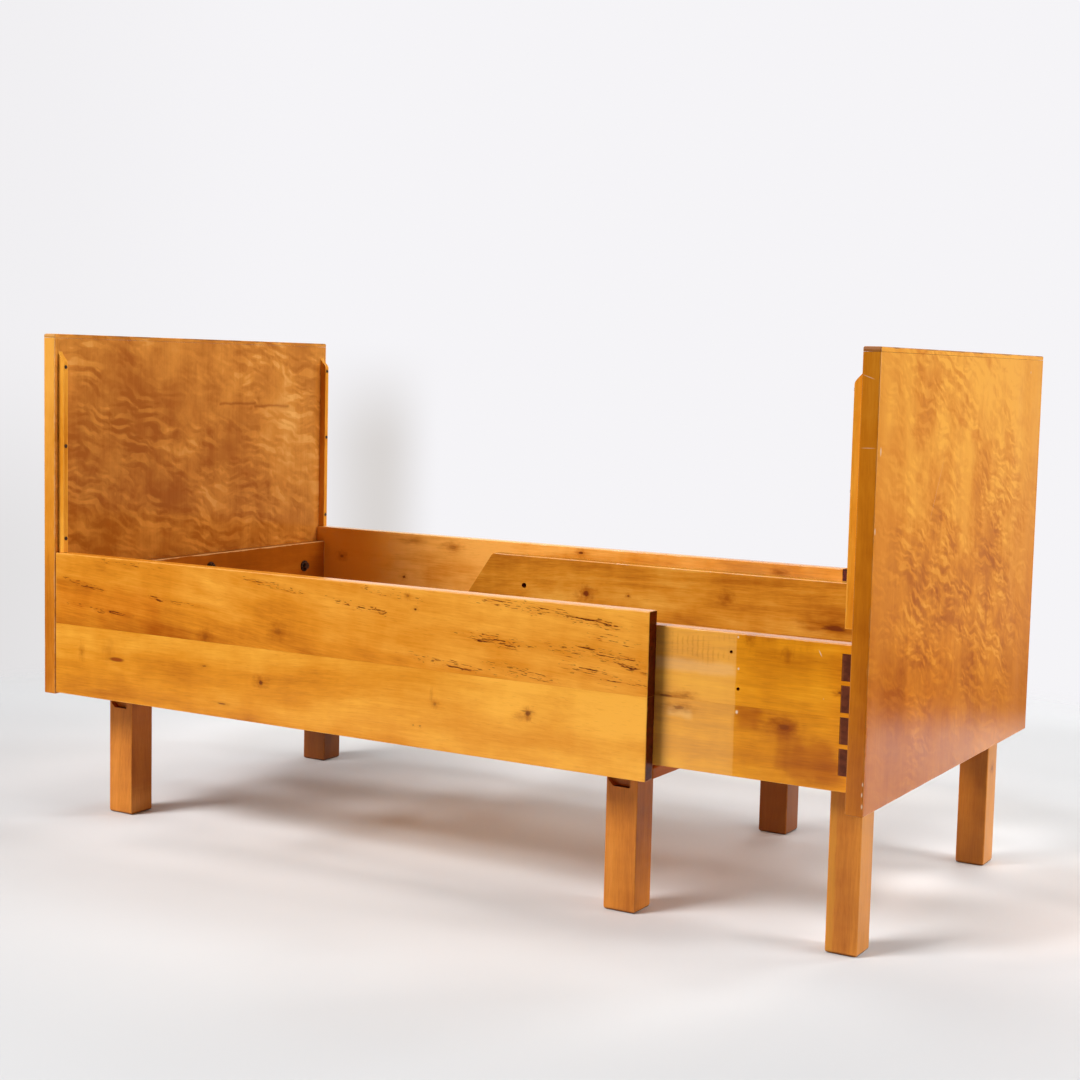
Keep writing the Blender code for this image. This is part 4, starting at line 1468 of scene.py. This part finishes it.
def inner_rails() -> SideRails:
    """Return the inner rails with the marks of each board."""
    bleached = Stain((-0.7, 0.1), (0.4985, 0.5), 0.0012, 0.3, (0.98, 0.56, 0.16), "MIX")
    front = BoardLook(0.0, tone=0.08, lean=-0.25, hue=(1.04, 1.08, 0.5), side=Outlook.FRONTWARD)
    front_upper = replace(
        front,
        seed=5.5,
        knots=(
            Knot((0.516, 0.393), 0.004, 0.8, 0.2, 0.6),
            Knot((0.568, 0.377), 0.005, 0.7, 0.15, 0.5),
            Knot((0.638, 0.3386), 0.002, 2.0, 0.8, 0.7),
            Knot((0.402, 0.3090), 0.002, 5.0, 0.7, 0.8),
            Knot((0.428, 0.3115), 0.003, 2.5, 0.3, 0.6),
        ),
        stains=(
            bleached,
            Stain((-0.2, 0.343), (0.497, 0.359), 0.004, 0.3, (0.90, 0.56, 0.26), "MIX"),
        ),
        chatter=(
            Chatter((0.406, 0.360), (0.492, 0.394)),
            Chatter((0.51, 0.375), (0.60, 0.394), 0.0085, 0.15),
        ),
        scratches=(
            Scratch((0.5020, 0.356), (0.5020, 0.352), 0.0016, 1.0),
            Scratch((0.5000, 0.396), (0.5005, 0.392), 0.0016, 0.9),
            Scratch((0.6090, 0.387), (0.6120, 0.382), 0.0018, 0.7),
        ),
    )
    front_lower = replace(
        front,
        seed=6.1,
        knots=(
            Knot((0.565, 0.2875), 0.0045, 2.2, 0.55, 0.9),
            Knot((0.421, 0.2955), 0.003, 3.0, 0.5, 0.6),
        ),
        stains=(
            bleached,
            Stain((0.502, 0.280), (0.535, 0.3075), 0.008, 0.7),
            Stain((0.535, 0.268), (0.590, 0.300), 0.014, 0.45),
            Stain((0.556, 0.235), (0.575, 0.288), 0.005, 0.5),
            Stain((0.575, 0.222), (0.642, 0.278), 0.012, 0.7),
            Stain((0.50, 0.2), (0.64, 0.27), 0.02, 0.3),
            Stain((0.405, 0.283), (0.440, 0.2955), 0.004, 0.3, (0.95, 0.62, 0.25), "MIX"),
        ),
        scratches=(Scratch((0.5010, 0.296), (0.5022, 0.302), 0.0022, 1.0),),
    )
    rear_lower = BoardLook(8.3, figure=1.3, hue=(0.78, 0.92, 1.25))
    rear_upper = replace(
        rear_lower,
        seed=7.7,
        knots=(
            Knot((-0.065, 0.3424), 0.0060, 1.3, 0.95, 0.9),
            Knot((0.0164, 0.3456), 0.0022, 1.3, 0.8, 0.6),
            Knot((0.197, 0.3570), 0.0045, 1.6, 0.2, 0.75),
            Knot((0.385, 0.3250), 0.0055, 4.5, 0.95, 0.9),
        ),
    )
    looks = {
        "inner_front_rail_upper_board": front_upper,
        "inner_front_rail_lower_board": front_lower,
        "inner_rear_rail_upper_board": rear_upper,
        "inner_rear_rail_lower_board": rear_lower,
    }
    return SideRails("inner", "foot_frame", looks)


def legs() -> Legs:
    """Return the legs with their tones, a knot, a darker band at the foot of each, and painted shade on some
    faces.
    """
    # A darker band at the very bottom of each leg.
    dark_foot_band = Stain((-1.0, -0.01), (1.0, 0.0026), 0.0010, 0.8, (0.2, 0.13, 0.08))
    # Painted shade over most of the footward face of the head and middle front legs.
    painted_shade_footward = Stain((-1.0, 0.03), (1.0, 0.4), 0.03, 0.9, (0.66, 0.54, 0.4), side=Outlook.FOOTWARD)
    # A paler, less orange footward face on the foot legs.
    paler_footward = Stain((-1.0, -0.05), (1.0, 0.4), 0.01, 0.22, (0.80, 0.39, 0.09), "MIX", Outlook.FOOTWARD)
    # Painted shade over the front face of the foot rear leg.
    painted_shade_frontward = Stain((-1.0, -0.05), (1.0, 0.4), 0.01, 1.0, (0.80, 0.75, 0.6), side=Outlook.FRONTWARD)
    sapwood = Stain((0.6, -0.05), (0.6255, 0.4), 0.0022, 0.4, (0.66, 0.29, 0.03), "MIX", Outlook.FRONTWARD)
    # The rear legs get less depth and the shaded hue, darker and redder: painted shade of their place under
    # the bed.
    shaded = (0.95, 0.75, 0.45)
    plain = (1.0, 1.0, 1.0)
    dressed = {
        "head_front_leg": (1.1, plain, (painted_shade_footward,)),
        "head_rear_leg": (0.40, shaded, ()),
        "middle_front_leg": (1.1, plain, (replace(painted_shade_footward, weight=0.5),)),
        "middle_rear_leg": (0.5, shaded, ()),
        "foot_front_leg": (0.99, plain, (paler_footward, sapwood)),
        "foot_rear_leg": (1.0, plain, (paler_footward, painted_shade_frontward)),
    }
    looks = {
        name: BoardLook(51.0 + number, depth=depth, hue=hue, stains=stains + (dark_foot_band,))
        for number, (name, (depth, hue, stains)) in enumerate(dressed.items())
    }
    knot = Knot((0.258, 0.1455), 0.0045, 1.0, 0.7, 0.6)
    looks["foot_rear_leg"] = replace(looks["foot_rear_leg"], knots=(knot,))
    return Legs(looks, ("foot_rear_leg",))


def make_dresser(nodes: dict[str, Object]) -> Dresser:
    """Return the finishes, with the nodes that they go on.

    Args:
        nodes: the objects of the frame by node name.

    Returns:
        The dresser.
    """
    effects = Effects()
    amber = WoodFinish(
        effects,
        deep=(0.42, 0.100, 0.004),
        middle=(0.74, 0.262, 0.016),
        pale=(0.95, 0.430, 0.052),
        end=(0.145, 0.011, 0.001),
        rings=1.0,
        fibre=0.5,
        cloud=1.3,
        ripple=0.2,
    )
    leg_wood = WoodFinish(
        effects,
        deep=(0.36, 0.095, 0.008),
        middle=(0.56, 0.185, 0.020),
        pale=(0.72, 0.270, 0.040),
        end=(0.080, 0.018, 0.004),
        rough=0.34,
        rings=1.0,
        fibre=0.6,
        cloud=1.0,
    )
    cross = WoodFinish(
        effects,
        deep=(0.30, 0.064, 0.003),
        middle=(0.48, 0.120, 0.006),
        pale=(0.64, 0.195, 0.014),
        end=(0.15, 0.038, 0.016),
        rough=0.32,
        rings=1.0,
        cloud=1.2,
        gloss=0.15,
        worn=0.15,
    )
    bare = WoodFinish(
        effects,
        deep=(0.48, 0.22, 0.055),
        middle=(0.62, 0.32, 0.095),
        pale=(0.74, 0.44, 0.160),
        end=(0.34, 0.17, 0.060),
        rough=0.55,
        rings=1.4,
        cloud=1.2,
    )
    veneer = VeneerFinish(
        effects,
        deep=(0.42, 0.105, 0.006),
        middle=(0.72, 0.250, 0.022),
        pale=(0.97, 0.450, 0.070),
        end=(0.12, 0.03, 0.006),
        rough=0.16,
        rings=0.2,
        fibre=0.16,
        cloud=0.3,
        gloss=0.5,
    )
    lipping = LippingFinish(**{**vars(veneer), "gloss": 0.3}, solid=amber)
    return Dresser(nodes, amber, leg_wood, cross, bare, veneer, lipping, DarkSteel())


def head_end() -> EndPanel:
    """Return the head panel with its marks."""
    streak = (0.50, 0.29, 0.14)
    look = BoardLook(
        2.0, tone=-0.23, rise=0.2, lean=0.22, curl=0.85, slope=0.24, figure=0.66, hue=(1.0, 1.12, 1.9),
        side=Outlook.FOOTWARD,
        stains=(
            # A paler orange strip on the inner face beside the front lath: painted light where the lath's
            # shadow falls.
            Stain((-0.36, 0.1), (-0.3342, 0.8), 0.0006, 0.4, (0.88, 0.36, 0.05), "MIX"),
            Stain((0.044, 0.6465), (0.140, 0.6500), 0.0030, 0.75, streak),
            Stain((0.136, 0.6415), (0.234, 0.6450), 0.0030, 0.75, streak),
        ),
    )
    return EndPanel("head", "head_frame", 1.0, look, 11.0, 0.15, 0.6, end_soak=0.35, lath_tone=0.3)


def foot_end() -> EndPanel:
    """Return the foot panel with its marks."""
    crack = Stain((0.0888, 0.194), (0.0902, 0.2045), 0.0007, 0.85, (0.25, 0.12, 0.06))
    shade = Stain((-0.40, 0.20), (-0.02, 0.36), 0.07, 0.8, (0.93, 0.83, 0.65))
    look = BoardLook(
        7.0, tone=-0.01, rise=0.62, lean=0.12, heart=0.26, curl=1.15, low_calm=0.35, figure=0.8,
        hue=(1.04, 0.99, 0.7),
        side=Outlook.FOOTWARD,
        scratches=(
            Scratch((-0.104, 0.606), (-0.136, 0.552), 0.0008, 0.5),
            Scratch((0.280, 0.736), (0.280, 0.731), 0.0022, 0.8),
            Scratch((-0.3310, 0.641), (-0.3310, 0.627), 0.0030, 0.7),
            Scratch((-0.3395, 0.545), (-0.3395, 0.534), 0.0020, 0.9),
        ),
        stains=(crack, shade),
    )
    edge_marks = (
        Scratch((0.6586, 0.725), (0.6760, 0.719), 0.0007, 0.6),
        Scratch((0.6585, 0.638), (0.6815, 0.6385), 0.0006, 0.5),
        Scratch((0.6800, 0.2385), (0.6800, 0.2320), 0.0010, 0.9),
        Scratch((0.6795, 0.2260), (0.6795, 0.2190), 0.0010, 0.9),
        Scratch((0.6800, 0.2120), (0.6800, 0.2046), 0.0012, 0.9),
    )
    olive, dull = (0.76, 0.66, 0.4), (0.36, 0.15, 0.02)
    return EndPanel("foot", "foot_frame", -1.0, look, 14.0, -0.08, 0.25, olive, dull, edge_marks)


def assemblies() -> list[Union[EndPanel, SideRails, CrossPieces, Legs, Slats]]:
    """Return every sub-assembly in the order in which it is dressed."""
    places = ("front", "middle", "rear")
    screws = tuple(f"{end}_coach_screw_{place}" for end in ("head", "foot") for place in places)
    slats = [f"outer_slat_{number}" for number in (1, 2, 3, 4)]
    slats += [f"inner_slat_{number}" for number in (1, 2, 3)]
    cross_pieces = CrossPieces(
        ("head_cross_rail",),
        ("foot_cross_rail", "head_bearer", "end_bearer"),
        ("head_slat_riser", "end_slat_riser", "foot_bearer", "free_end_batten"),
        screws,
    )
    return [head_end(), foot_end(), outer_rails(), inner_rails(), cross_pieces, legs(), Slats(tuple(slats))]


def studio() -> Studio:
    """Return the studio with its lamps and the patches of painted light and shade on its floor."""
    lamps = (
        SoftBox("key_softbox", -34.0, 38.0, 12.0, 4.2, 1380.0),
        SoftBox("left_softbox", -40.0, 14.0, 4.0, 1.4, 20.0, glints=False),
        SoftBox("right_softbox", 98.0, 17.0, 4.6, 1.8, 148.0),
        SoftBox("rear_right_softbox", 135.0, 45.0, 6.0, 1.4, 85.0, glints=False),
        SoftBox("rear_softbox", 180.0, 33.0, 4.0, 1.6, 45.0, glints=False),
        SoftBox("top_softbox", -120.0, 76.0, 4.0, 1.6, 40.0, glints=False),
    )
    patches = (
        PaperPatch((0.74, 0.02), (0.33, 0.18), 1.0, (0.95, 0.94, 0.935)),
        PaperPatch((0.84, 0.28), (0.30, 0.22), 1.0, (0.90, 0.89, 0.885)),
        PaperPatch((0.70, 0.58), (0.40, 0.22), 0.3, (0.90, 0.895, 0.89)),
        PaperPatch((-0.03, -0.03), (0.39, 0.26), 0.7, (0.90, 0.89, 0.885)),
        PaperPatch((1.05, -0.55), (0.55, 0.55), 0.6, (0.57, 0.575, 0.585)),
        PaperPatch((-0.70, 0.34), (0.25, 0.22), 0.8, (0.58, 0.575, 0.57)),
        PaperPatch((0.75, -0.09), (0.18, 0.13), 0.5, (0.95, 0.945, 0.94)),
        PaperPatch((-0.32, -0.37), (0.62, 0.14), 0.8, (0.86, 0.86, 0.865)),
        PaperPatch((0.20, 0.63), (0.45, 0.13), 0.7, (0.92, 0.915, 0.91)),
        PaperPatch((0.55, 1.15), (0.45, 0.42), 0.6, (0.53, 0.53, 0.535)),
    )
    return Studio(lamps=lamps, patches=patches)


def main() -> None:
    """Load the frame, dress every sub-assembly and build the studio."""
    logging.basicConfig(level=logging.INFO, format="%(name)s: %(message)s")
    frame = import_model()
    dresser = make_dresser(frame["nodes"])
    for assembly in assemblies():
        assembly.dress(dresser)
    studio().build()


if __name__ == "__main__":
    main()
